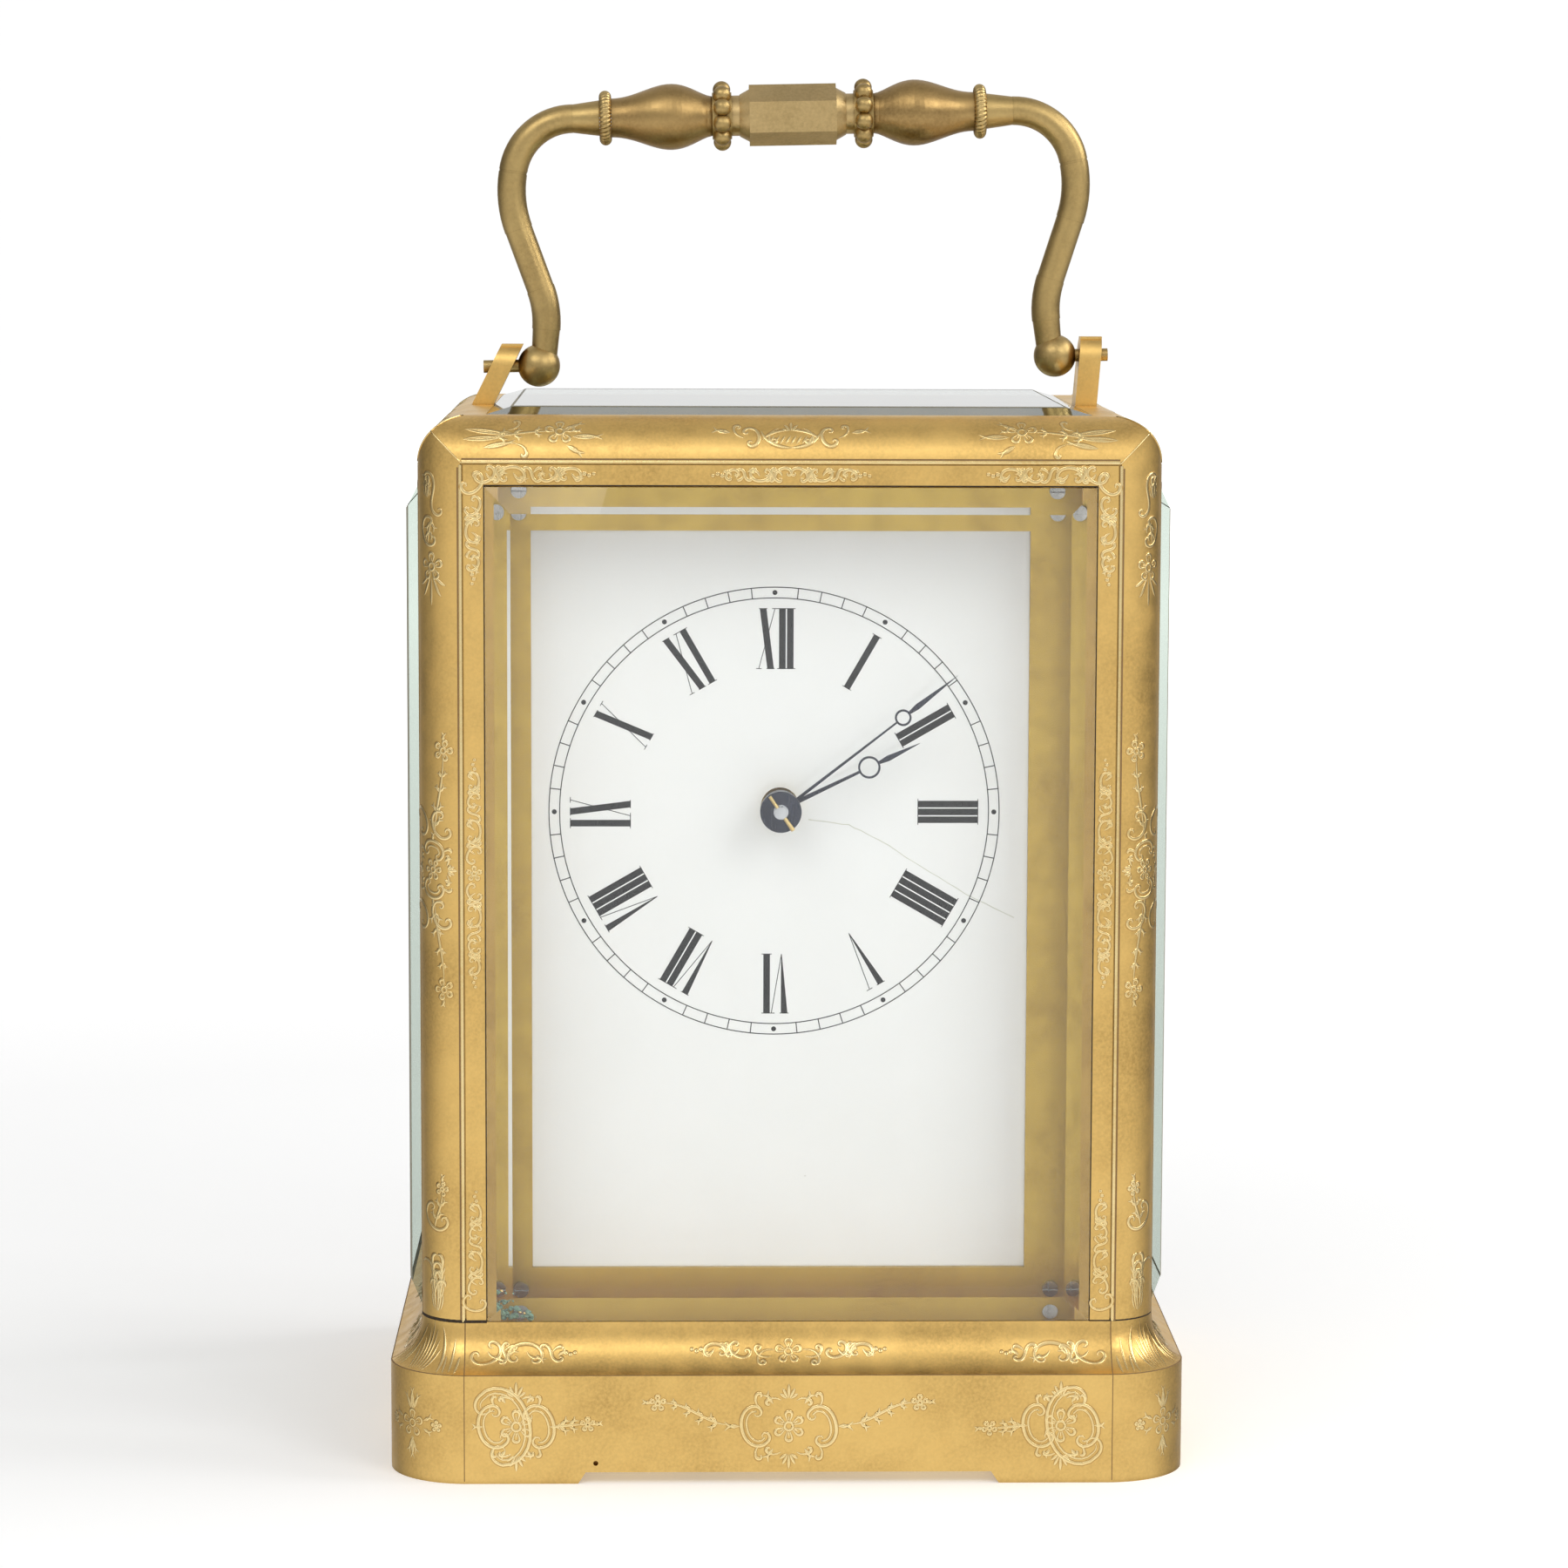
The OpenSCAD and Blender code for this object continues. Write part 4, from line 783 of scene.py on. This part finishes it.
def engrave_top(store, face):
    """The flat band above the glass and the top moulding."""
    start = face.edge - 1.6
    for side in (1, -1):

        def flat(u, v, h, side=side):
            return face.flat(side * (start - u), TOP_CREASE - BAND_W / 2 + v, h)

        def moulding(u, v, h, side=side):
            return face.top_round(side * (face.edge - u), ROUND_R * 0.56 + v, h)

        lay(store, flat, scroll_run(15.0, 1.9))
        lay(store, flat, scroll_run(8.5, 1.6), (start, 0.0), 180)
        draw = partial(lay, store, moulding)
        for at, turn, long in (((0.4, 1.1), -8, 5.2), ((0.2, -0.4), 3, 4.8), ((2.6, -1.5), 12, 3.6)):
            draw(leaf(long, 15), at, turn)
        draw(spray(7.4, 5, 3, 1.7), (3.0, 0.0))
        for at, turn, long in (((12.4, 1.2), 32, 2.2), ((13.1, 0.0), 0, 3.4), ((12.4, -1.2), -32, 2.2)):
            draw(leaf(long, 24), at, turn)
        draw(curl(3.4), (5.4, 1.0), 6)
        draw(curl(3.0), (6.4, -1.0), -8, flip=True)

    def centre(u, v, h):
        return face.top_round(u, ROUND_R * 0.57 + v, h)

    draw = partial(lay, store, centre)
    for side in (1, -1):
        turn = 0 if side > 0 else 180
        draw(scroll(turn - 90, 2.6), (side * 4.6 - 1.0, 0))
        draw(curl(4.2), (side * 1.4, 1.3), turn - side * 18, flip=side > 0)
        draw(curl(3.6), (side * 5.6, -0.2), turn + side * 16, flip=side < 0)
        draw(leaf(2.2), (side * 7.2, 0.6), turn + side * 12)
        draw([pen((0, -1.5), turn, [(4.6, side * 6, side * 26)])])
        draw([pen((0, 1.0), turn, [(3.8, -side * 4, -side * 22)])])
    draw(fan(5, 1.5, 70), (0, 0.9))
    for k in range(9):
        draw([pen((-2.6 + 0.65 * k, -1.0), 62, [(1.3, 0, 0)], PEN * 0.6)])


def engrave_base(store, face):
    """Cove and plinth of one face, with the corner to its right."""

    def cove(u, v, h):
        return face.cove(u, COVE_LENGTH / 2 + v, h)

    def flat(u, v, h):
        return face.plinth(u, PLINTH_H * 0.53 + v, h)

    on_cove, on_flat = partial(lay, store, cove), partial(lay, store, flat)
    for side in (1, -1):
        turn = 0 if side > 0 else 180
        on_cove(scroll_run(10.5, 2.9), (side * (face.edge - 0.8), -0.2), 180 - turn, flip=side > 0)
        on_cove(curl(5.4), (side * 1.6, 0.2), turn + side * 14, flip=side > 0)
        on_cove(curl(4.0), (side * 2.0, -0.6), turn - side * 20, flip=side < 0)
        on_cove(scroll_run(4.5, 2.0), (side * 4.6, 0.2), turn, flip=side < 0)
        on_flat(cartouche(13.0, 11.2), (side * (face.edge - 6.2), 0))
        frame_scroll = doubled(scroll(-90 * side, 9.4))
        wide = extent(frame_scroll, 0)[1]
        on_flat(frame_scroll, (side * (face.edge - 4.6) - wide / 2, 0))
        on_flat(spray(3.4, 8, 2, 0.8), (side * (face.edge - 10.8), 0), 180 - turn)
        on_flat(spray(8.2, 14, 4, 0.9), (side * 7.4, 0.2), turn, flip=side < 0)
    on_cove(flower(1.5, 5))
    on_flat(cartouche(19.0, 10.6))
    middle = CORNER_ARC / 2
    draw = partial(lay, store, face.cove_corner(1))
    draw(fan(7, 6.4, 34, 12), (middle, 0.4))
    for way in (1, -1):
        draw([pen((middle + way * 3.4, 0.4), 90 - way * 6, [(6.3, way * 3, way * 9)], PEN * 1.2)])
        draw(fan(3, 4.6, 16, 10), (middle + way * 5.0, 0.4))
    strokes = flower(1.6, 5)
    for way in (1, -1):
        for lean, long in ((0, 2.6), (26, 2.1), (-26, 2.1)):
            strokes += moved(leaf(long, 24), (0.4 * sin(radians(lean)), way * 1.7), way * 90 - lean)
        strokes += moved(leaf(1.5), (way * 1.8, 0.5), 90 - way * 65)
        strokes += moved(leaf(1.3), (way * 1.8, -0.5), way * 65 - 90)
        strokes += moved(flower(0.6), (way * 3.6, 0))
    lay(store, face.plinth_corner(1), finer(strokes, 0.85), (middle, PLINTH_H * 0.52), relief=0.6)


def engrave():
    """Every stroke is a bright cut, its lighter colour a painted highlight, on a wider, darker bed of
    painted shade.
    """
    bright, shade_beds = ([], []), ([], [])
    for face in FACES:
        for part in (engrave_posts, engrave_top, engrave_base):
            part(bright, face)
            GROOVE.append(SHADE)
            part(shade_beds, face)
            GROOVE.pop()
    make_piece("engraving", *bright, GILT_PAINTED_HIGHLIGHT, "gilt_case")
    make_piece("engraving_shade_beds", *shade_beds, GILT_SHADE_BED, "gilt_case")


def rule(store, surface, start, end, width):
    """A straight low line."""
    points = [tuple(a + (b - a) * k / 12 for a, b in zip(start, end)) for k in range(13)]
    lay(store, surface, [(points, [width] * len(points))], section=LINE)


def seams():
    """Dark lines where castings, mouldings and glasses meet, thin dark lines of painted shade in the
    creases, and lighter lines of painted highlight along the fillets and mitres where the mouldings
    meet.
    """
    dark, soft, fillet = ([], []), ([], []), ([], [])
    low = JOINT_Z + 0.05
    for face in FACES:
        edge, window, top = face.edge, face.edge - BAND_W, TOP_CREASE - BAND_W
        sash = (-window, JOINT_Z), (-window, top), (window, top), (window, JOINT_Z)
        for start, end in zip(sash, sash[1:]):
            rule(dark, face.flat, start, end, 0.16)
        for side in (1, -1):
            post = face.post(side)
            rule(soft, post, (0.5, JOINT_Z), (0.5, TOP_CREASE - 0.5), 0.2)
            rule(fillet, post, (0.2, JOINT_Z), (0.2, TOP_CREASE - 0.2), 0.36)
            wide = 0.42 if side < 0 and face is FACES[0] else 0.2
            rule(dark, post, (0, low), (8.2, low), wide)
            rule(dark, face.flat, (side * window, low), (side * edge, low), wide)
            rule(soft, face.cove, (side * edge, 0), (side * edge, COVE_LENGTH), 0.14)
            rule(soft, face.plinth, (side * edge, 0.3), (side * edge, PLINTH_H), 0.12)
        rule(soft, face.top_round, (-edge, 0.5), (edge, 0.5), 0.2)
        rule(fillet, face.top_round, (-edge, 0.2), (edge, 0.2), 0.36)
        rule(soft, face.cove, (-edge, 0.06), (edge, 0.06), 0.18)
        rule(soft, face.cove_corner(1), (0, 0.06), (CORNER_ARC, 0.06), 0.18)
        mitre(fillet, face)
    make_piece("seam_lines", *dark, GRIME, "gilt_case")
    # thin dark lines of painted shade in the creases
    make_piece("crease_lines", *soft, CREASE_SHADE, "gilt_case")
    # lighter lines of painted highlight along the fillets and mitres
    make_piece("fillet_lines", *fillet, GILT_PAINTED_HIGHLIGHT, "gilt_case")


def mitre(store, face):
    """The raised edges where a post meets the top moulding and, above it, where two mouldings meet."""
    for side in (1, -1):
        lower, upper = [], []
        for k in range(9):
            a = ROUND_START + (pi / 4 - ROUND_START) * k / 8
            b = pi / 4 + (pi / 4 - ROUND_START) * k / 8
            for rail, angle, across in ((lower, a, sin(a)), (upper, b, cos(b))):
                spot = side * (face.half - ROUND_IN + ROUND_R * across)
                out = face.depth - ROUND_IN + ROUND_R * cos(angle)
                rail.append(face.at(spot, out, CASE_TOP - ROUND_IN + ROUND_R * sin(angle)))
        for rail in (lower, upper) if face.half == HALF_W else (lower,):
            add_part(store, *sweep(rail, [0.10] * len(rail), 8))


def arris(store, outer, inner, surface):
    """A flat strip between two rectangles given as (half u, low v, high v, height)."""
    rows = []
    for half, low, high, h in (outer, inner):
        rows += [surface(u, v, h) for u, v in ((-half, low), (half, low), (half, high), (-half, high))]
    add_part(store, rows, grid_faces(2, 4, close_cols=True))


def arrises():
    """Dark strips along the inner edge of the bevels of the side glasses and the top glass."""
    store, skin = ([], []), 0.02
    low, high = box_mm("side_glasses")
    for side, wide in ((1, 0.22), (-1, 0.5)):
        edges = []
        for inset, x in ((BEVEL_W, high.x), (BEVEL_W - wide, high.x - wide * SIDE_PROUD / BEVEL_W)):
            edges.append((high.y - inset, low.z + inset, high.z - inset, x + skin))
        arris(store, *edges, lambda u, v, h, side=side: Vector((side * h, u, v)))
    low, high = box_mm("top_glass")
    edges = []
    for inset, z in ((BEVEL_W, high.z), (BEVEL_W - 0.35, high.z - 0.35 * TOP_PROUD / BEVEL_W)):
        edges.append((high.x - inset, inset - high.y, high.y - inset, z + skin))
    arris(store, *edges, lambda u, v, h: Vector((u, v, h)))
    make_piece("glass_arrises", *store, GLASS_EDGE_DARK, "clear_glass", smooth=False)


# ---------- dial ----------

RING_X, RING_Z = -1.58, 78.8  # middle of the minute ring
RING_OUT, RING_IN = 27.4, 26.1
RING_LINE, TICK, DOT_R = 0.06, 0.12, 0.3  # half width of the two circles, width of a minute line
NUMERAL_LOW, NUMERAL_HIGH = 17.5, 24.8
BAR, HAIR = 0.80, 0.09  # thick and thin strokes
WIDTHS = {"I": 0.96, "V": 1.75, "X": 2.8}
HOURS = "XII I II III IIII V VI VII VIII IX X XI".split()
STROKES = {  # of each letter: shift at the low and high end, width at the low and high end
    "I": ((0, 0, BAR, BAR),),
    "V": ((-0.45, -0.8, 0.08, BAR), (-0.45, 0.78, HAIR, HAIR)),
    "X": ((0.46, -0.46, BAR, BAR), (-0.97, 0.97, HAIR, HAIR)),
}
SERIFS = {  # shift, radius, length
    "I": ((0, NUMERAL_LOW, 1.24), (0, NUMERAL_HIGH, 1.24)),
    "V": ((-0.8, NUMERAL_HIGH, 1.1), (0.78, NUMERAL_HIGH, 0.8)),
    "X": (
        (0.46, NUMERAL_LOW, 1.0), (-0.46, NUMERAL_HIGH, 1.0),
        (-0.97, NUMERAL_LOW, 0.68), (0.97, NUMERAL_HIGH, 0.68),
    ),
}
PRINT_Y = DIAL_FACE - 0.02
CRACK_PATH = ((2.6, 77.9), (7.5, 77.2), (11.9, 75.0), (15.2, 72.8), (21.8, 68.7), (28.9, 65.2))


def printed(store, outline):
    """A flat patch of print with (x, z) corners."""
    verts = [Vector((x, PRINT_Y, z)) for x, z in outline]
    add_part(store, verts, [list(range(len(verts)))])


def on_ring(degrees_round, radius, shift=0.0):
    """A point of the ring, clockwise from twelve, with a sideways shift."""
    a = radians(degrees_round)
    return RING_X + radius * sin(a) + shift * cos(a), RING_Z + radius * cos(a) - shift * sin(a)


def bar(store, turn, low, high, thick_low, thick_high):
    """A stroke of a numeral from (shift, radius) low to high."""
    corners = []
    for (shift, radius), half in ((low, thick_low / 2), (high, thick_high / 2)):
        corners += [(shift - half, radius), (shift + half, radius)]
    order = (corners[0], corners[1], corners[3], corners[2])
    printed(store, [on_ring(turn, radius, shift) for shift, radius in order][::-1])


def numeral(store, text, turn):
    """Roman letters whose feet point to the centre, thick strokes closed by hairline serifs."""
    at = -sum(WIDTHS[c] for c in text) / 2
    for letter in text:
        middle = at + WIDTHS[letter] / 2
        at += WIDTHS[letter]
        for low, high, *widths in STROKES[letter]:
            bar(store, turn, (middle + low, NUMERAL_LOW), (middle + high, NUMERAL_HIGH), *widths)
        for shift, radius, long in SERIFS[letter]:
            inner, outer = (middle + shift, radius - HAIR / 2), (middle + shift, radius + HAIR / 2)
            bar(store, turn, inner, outer, long, long)


def ring_band(store, inner, outer, steps=180):
    verts = []
    for radius in (inner, outer):
        for k in range(steps):
            x, z = on_ring(360 * k / steps, radius)
            verts.append(Vector((x, PRINT_Y, z)))
    add_part(store, verts, grid_faces(2, steps, close_cols=True))


def print_dial():
    store = [], []
    for radius in (RING_OUT, RING_IN):
        ring_band(store, radius - RING_LINE, radius + RING_LINE)
    for minute in range(60):
        if minute % 5:
            bar(store, 6 * minute, (0, RING_IN), (0, RING_OUT), TICK, TICK)
            continue
        x, z = on_ring(6 * minute, (RING_IN + RING_OUT) / 2)
        turns = [2 * pi * k / 20 for k in range(20)]
        printed(store, [(x + DOT_R * cos(a), z + DOT_R * sin(a)) for a in turns])
    for hour, text in enumerate(HOURS):
        numeral(store, text, 30 * hour)
    make_piece("dial_print", *store, INK, "white_enamel", smooth=False)


def dial_crack():
    """A hairline crack in the enamel, from the centre to the right edge."""
    store, points = ([], []), []
    for (x0, z0), (x1, z1) in zip(CRACK_PATH, CRACK_PATH[1:]):
        for k in range(6):
            x, z = x0 + (x1 - x0) * k / 6, z0 + (z1 - z0) * k / 6
            points.append((x + RNG.uniform(-0.05, 0.05), z + RNG.uniform(-0.06, 0.06)))
    widths = [0.09 + RNG.uniform(0, 0.05) for _ in points]

    def enamel(u, v, h):
        return Vector((u, DIAL_FACE - h, v))

    lay(store, enamel, [(points, widths)], section=LINE)
    make_piece("dial_crack", *store, CRACK, "white_enamel")


# ---------- handle ----------

HANDLE_ORIGIN = joint_place("handle_swing")
HANDLE_TILT = Matrix.Rotation(radians(-1.24), 3, "Y")  # the handle hangs a little askew
GRIP_H = 30.5
ROPE_AT, ROPE_RING, ROPE_R = 23.3, 2.62, 0.78


def rope_rings():
    """Twisted rope collars round the grip."""
    store = [], []
    around, across, strands = 240, 20, 36
    for side in (1, -1):
        verts = []
        for i in range(around):
            big = 2 * pi * i / around
            for j in range(across):
                small = 2 * pi * j / across
                r = ROPE_R - 0.16 + 0.15 * abs(cos(0.5 * strands * big + small))
                q = ROPE_RING + r * cos(small)
                local = Vector((side * ROPE_AT + r * sin(small), q * cos(big), GRIP_H + q * sin(big)))
                verts.append(HANDLE_ORIGIN + HANDLE_TILT @ local)
        add_part(store, verts, grid_faces(around, across, True, True))
    rope = make_piece("rope_collars", *store, GILT_ROPE, "gilt_handle", body="handle")
    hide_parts("rope_rings")


# ---------- movement and small things ----------

JEWEL_R = 0.95
CRUMBS = 90
CRUMB_X, CRUMB_Y = -35.4, -33.5  # the corner behind the front glass


def jewels():
    """A ruby in the balance cock; polished settings round it and round the back plate's pivots."""
    rubies, settings = ([], []), ([], [])
    at = joint_place("balance_swing")
    place = Vector((at.x, at.y, box_mm("balance_cock")[1].z))
    dome = [(0.0, JEWEL_R), (0.12, JEWEL_R * 0.95), (0.2, JEWEL_R * 0.6), (0.22, 0.0)]
    collar = [(0.0, JEWEL_R * 1.5), (0.14, JEWEL_R * 1.45), (0.16, JEWEL_R * 1.05), (0.05, JEWEL_R)]
    for store, profile in ((rubies, dome), (settings, collar)):
        add_part(store, *lathe(profile, place, Matrix.Identity(3), 32))
    back, level = box_mm("back_plate")[1].y, Matrix.Rotation(pi / 2, 3, "X")
    sink = [(-0.03, 1.5), (-0.06, 1.35), (-0.04, 1.2)]
    for name in ("centre_spin", "third_spin", "contrate_spin", "intermediate_spin"):
        at = joint_place(name)
        add_part(settings, *lathe(sink, Vector((at.x, back, at.z)), level, 32))
    make_piece("jewels", *rubies, RUBY, "gilt_platform")
    make_piece("jewel_settings", *settings, STEEL, "polished_steel")


def crumbs():
    """Verdigris and flakes of old gilding caught behind the lower left corner of the front glass."""
    green, gold = ([], []), ([], [])
    for n in range(CRUMBS):
        radius = RNG.uniform(0.08, 0.5)
        x = CRUMB_X + abs(RNG.gauss(0, 2.2))
        z = JOINT_Z + 0.35 + abs(RNG.gauss(0, 1.5)) * max(0.2, 1 - (x - CRUMB_X) / 6)
        place = Vector((x, CRUMB_Y + RNG.uniform(-0.6, 0.6), z))
        squash = [RNG.uniform(0.5, 1.1) for _ in range(7)]
        bends = [pi * k / 6 for k in range(7)]
        shape = [(radius * cos(a) * 0.6, radius * sin(a) * part) for a, part in zip(bends, squash)]
        turn = Matrix.Rotation(RNG.uniform(0, pi), 3, Vector((RNG.random(), RNG.random(), 1)))
        add_part(gold if n % 4 == 0 else green, *lathe(shape, place, turn, 8))
    make_piece("verdigris_crumbs", *green, VERDIGRIS, "gilt_case")
    make_piece("gilding_flakes", *gold, GILT_PAINTED_HIGHLIGHT, "gilt_case")


BEVELS = {
    0.22: "plinth",
    0.18: "handle_lugs",
    0.16: "grip_centre",
    0.15: "door_frame",
    0.12: "case_frame door_knob front_plate back_plate plate_pillars bottom_plate",
    0.10: "dial_mask balance_cock barrel_cover",
    0.08: "mask_screws handle_pivots platform pillar_screws seat_screws",
    0.06: "glass_strips",
    0.05: "lever_bridge ratchet_wheel balance_wheel click",
    0.04: "platform_screws",
    0.03: "regulator",
}


def bevel_nodes():
    """Small rounded edges."""
    for width, names in BEVELS.items():
        for name in names.split():
            edge = NODES[name].modifiers.new("edge", "BEVEL")
            edge.width = width * MM
            edge.segments = 2
            edge.limit_method = "ANGLE"
            edge.angle_limit = radians(30)


# ---------- camera, floor and light: places in metres from here on ----------

CAMERA_AT = Vector((-0.014, -0.6153, 0.1525))
CAMERA_TURN = (1.316, 6.772, 0.189)  # degrees to the right, down and anticlockwise
FOCAL = 112.52
FLOOR_R, WALL_H = 3.0, 2.5
FLOOR_GLOW = (0.23, 0.85)  # near the clock and far away
GLOW_REACH = (0.25, 1.2)
LAMP_TARGET = Vector((0, 0, 0.07))
LAMPS = (  # name, place, size, power in watts
    ("key_left", (-0.45, -0.95, 1.0), (0.9, 0.6), 3.0),
    ("fill_right", (0.75, -0.9, 0.8), (0.5, 0.6), 2.8),
    ("window_right", (1.1, 0.0, 0.75), (0.7, 0.7), 6.0),
)
# brightness of the room from in front (0) to behind (1): near the horizon, high up, and below
LOW_RING = ((0.0, 0.62), (0.25, 0.5), (0.5, 0.17), (0.8, 0.14), (0.93, 0.3), (0.97, 0.85), (1.0, 0.9))
HIGH_RING = ((0.0, 0.8), (0.3, 0.72), (0.5, 0.4), (0.75, 0.56), (1.0, 0.7))
GROUND = ((0.0, 1.05), (0.3, 1.0), (0.5, 0.8), (0.8, 0.3), (1.0, 0.6))
RISE, SINK = (0.25, 0.62), (0.05, -0.35)  # where the high ring and the ground take over
ROOM_LIGHT = 1.0


def make_camera():
    data = bpy.data.cameras.new("camera")
    data.sensor_width = 36
    data.lens = FOCAL
    data.clip_start = 0.01
    camera = add_object("camera", data)
    yaw, pitch, roll = map(radians, CAMERA_TURN)
    ahead = Vector((sin(yaw) * cos(pitch), cos(yaw) * cos(pitch), -sin(pitch)))
    right = Vector((cos(yaw), -sin(yaw), 0))
    up = right.cross(ahead)
    rolled = right * cos(roll) + up * sin(roll)
    rolled_up = up * cos(roll) - right * sin(roll)
    turn = Matrix((rolled, rolled_up, -ahead)).transposed().to_4x4()
    camera.matrix_world = Matrix.Translation(CAMERA_AT) @ turn
    bpy.context.scene.camera = camera


def stage_piece(name, verts, faces, material):
    mesh = bpy.data.meshes.new(name)
    mesh.from_pydata(verts, [], faces)
    mesh.materials.append(material)
    piece = add_object(name, mesh)
    return piece


def make_floor():
    """A pale round floor, and a white wall round it that only the camera and the glass see."""
    sides = 96
    turns = [2 * pi * k / sides for k in range(sides)]
    ring = [(FLOOR_R * cos(a), FLOOR_R * sin(a)) for a in turns]
    pale = Shader("floor_pale", (0.93, 0.93, 0.93), 0.0, 0.9)
    pale.feed("Base Color", pale.ramp(pale.noise(3, 2), [(0.3, (0.925,) * 3), (0.7, (0.94,) * 3)]))
    pale.feed("Emission Color", (1, 1, 1))
    away = pale.vector("LENGTH", pale.coord).outputs["Value"]
    pale.feed("Emission Strength", pale.spread(away, *FLOOR_GLOW, *GLOW_REACH))
    floor = stage_piece("floor", [(x, y, 0) for x, y in ring], [list(range(sides))], pale.mat)
    floor.visible_glossy = False
    white = Shader("wall_white", (0, 0, 0), 0.0, 1.0)
    white.feed("Emission Color", (1, 1, 1))
    white.feed("Emission Strength", 1.0)
    verts = [(x, y, z) for z in (0, WALL_H) for x, y in ring]
    wall = stage_piece("wall", verts, grid_faces(2, sides, close_cols=True), white.mat)
    wall.visible_diffuse = wall.visible_glossy = wall.visible_shadow = False


def make_lamps():
    for name, place, size, power in LAMPS:
        data = bpy.data.lights.new(name, "AREA")
        data.shape = "RECTANGLE"
        data.size, data.size_y = size
        data.energy = power
        light = add_object(name, data)
        light.location = place
        light.rotation_euler = (LAMP_TARGET - Vector(place)).to_track_quat("-Z", "Y").to_euler()


def make_room():
    """A soft room: dim at both sides, white behind, brightest high up in front."""
    world = bpy.data.worlds.new("room")
    bpy.context.scene.world = world
    world.use_nodes = True
    room = Nodes(world.node_tree)
    toward = room.node("SeparateXYZ")
    room.link(room.node("TexCoord").outputs["Generated"], toward.inputs[0])
    along = room.spread(toward.outputs["Y"], 0, 1, -1, 1)
    low_ring, high_ring, ground = (
        room.ramp(along, [(place, (grey,) * 3) for place, grey in stops])
        for stops in (LOW_RING, HIGH_RING, GROUND)
    )
    sky = room.mix(room.spread(toward.outputs["Z"], 0, 1, *RISE, smooth=True), low_ring, high_ring)
    around = room.mix(room.spread(toward.outputs["Z"], 0, 1, *SINK, smooth=True), sky, ground)
    background = world.node_tree.nodes["Background"]
    background.inputs["Strength"].default_value = ROOM_LIGHT
    room.link(around, background.inputs["Color"])
    view = bpy.context.scene.view_settings
    view.view_transform = "Standard"
    view.look = "None"


dress_nodes()
bevel_nodes()
engrave()
seams()
arrises()
print_dial()
dial_crack()
rope_rings()
jewels()
crumbs()
make_camera()
make_floor()
make_room()
make_lamps()
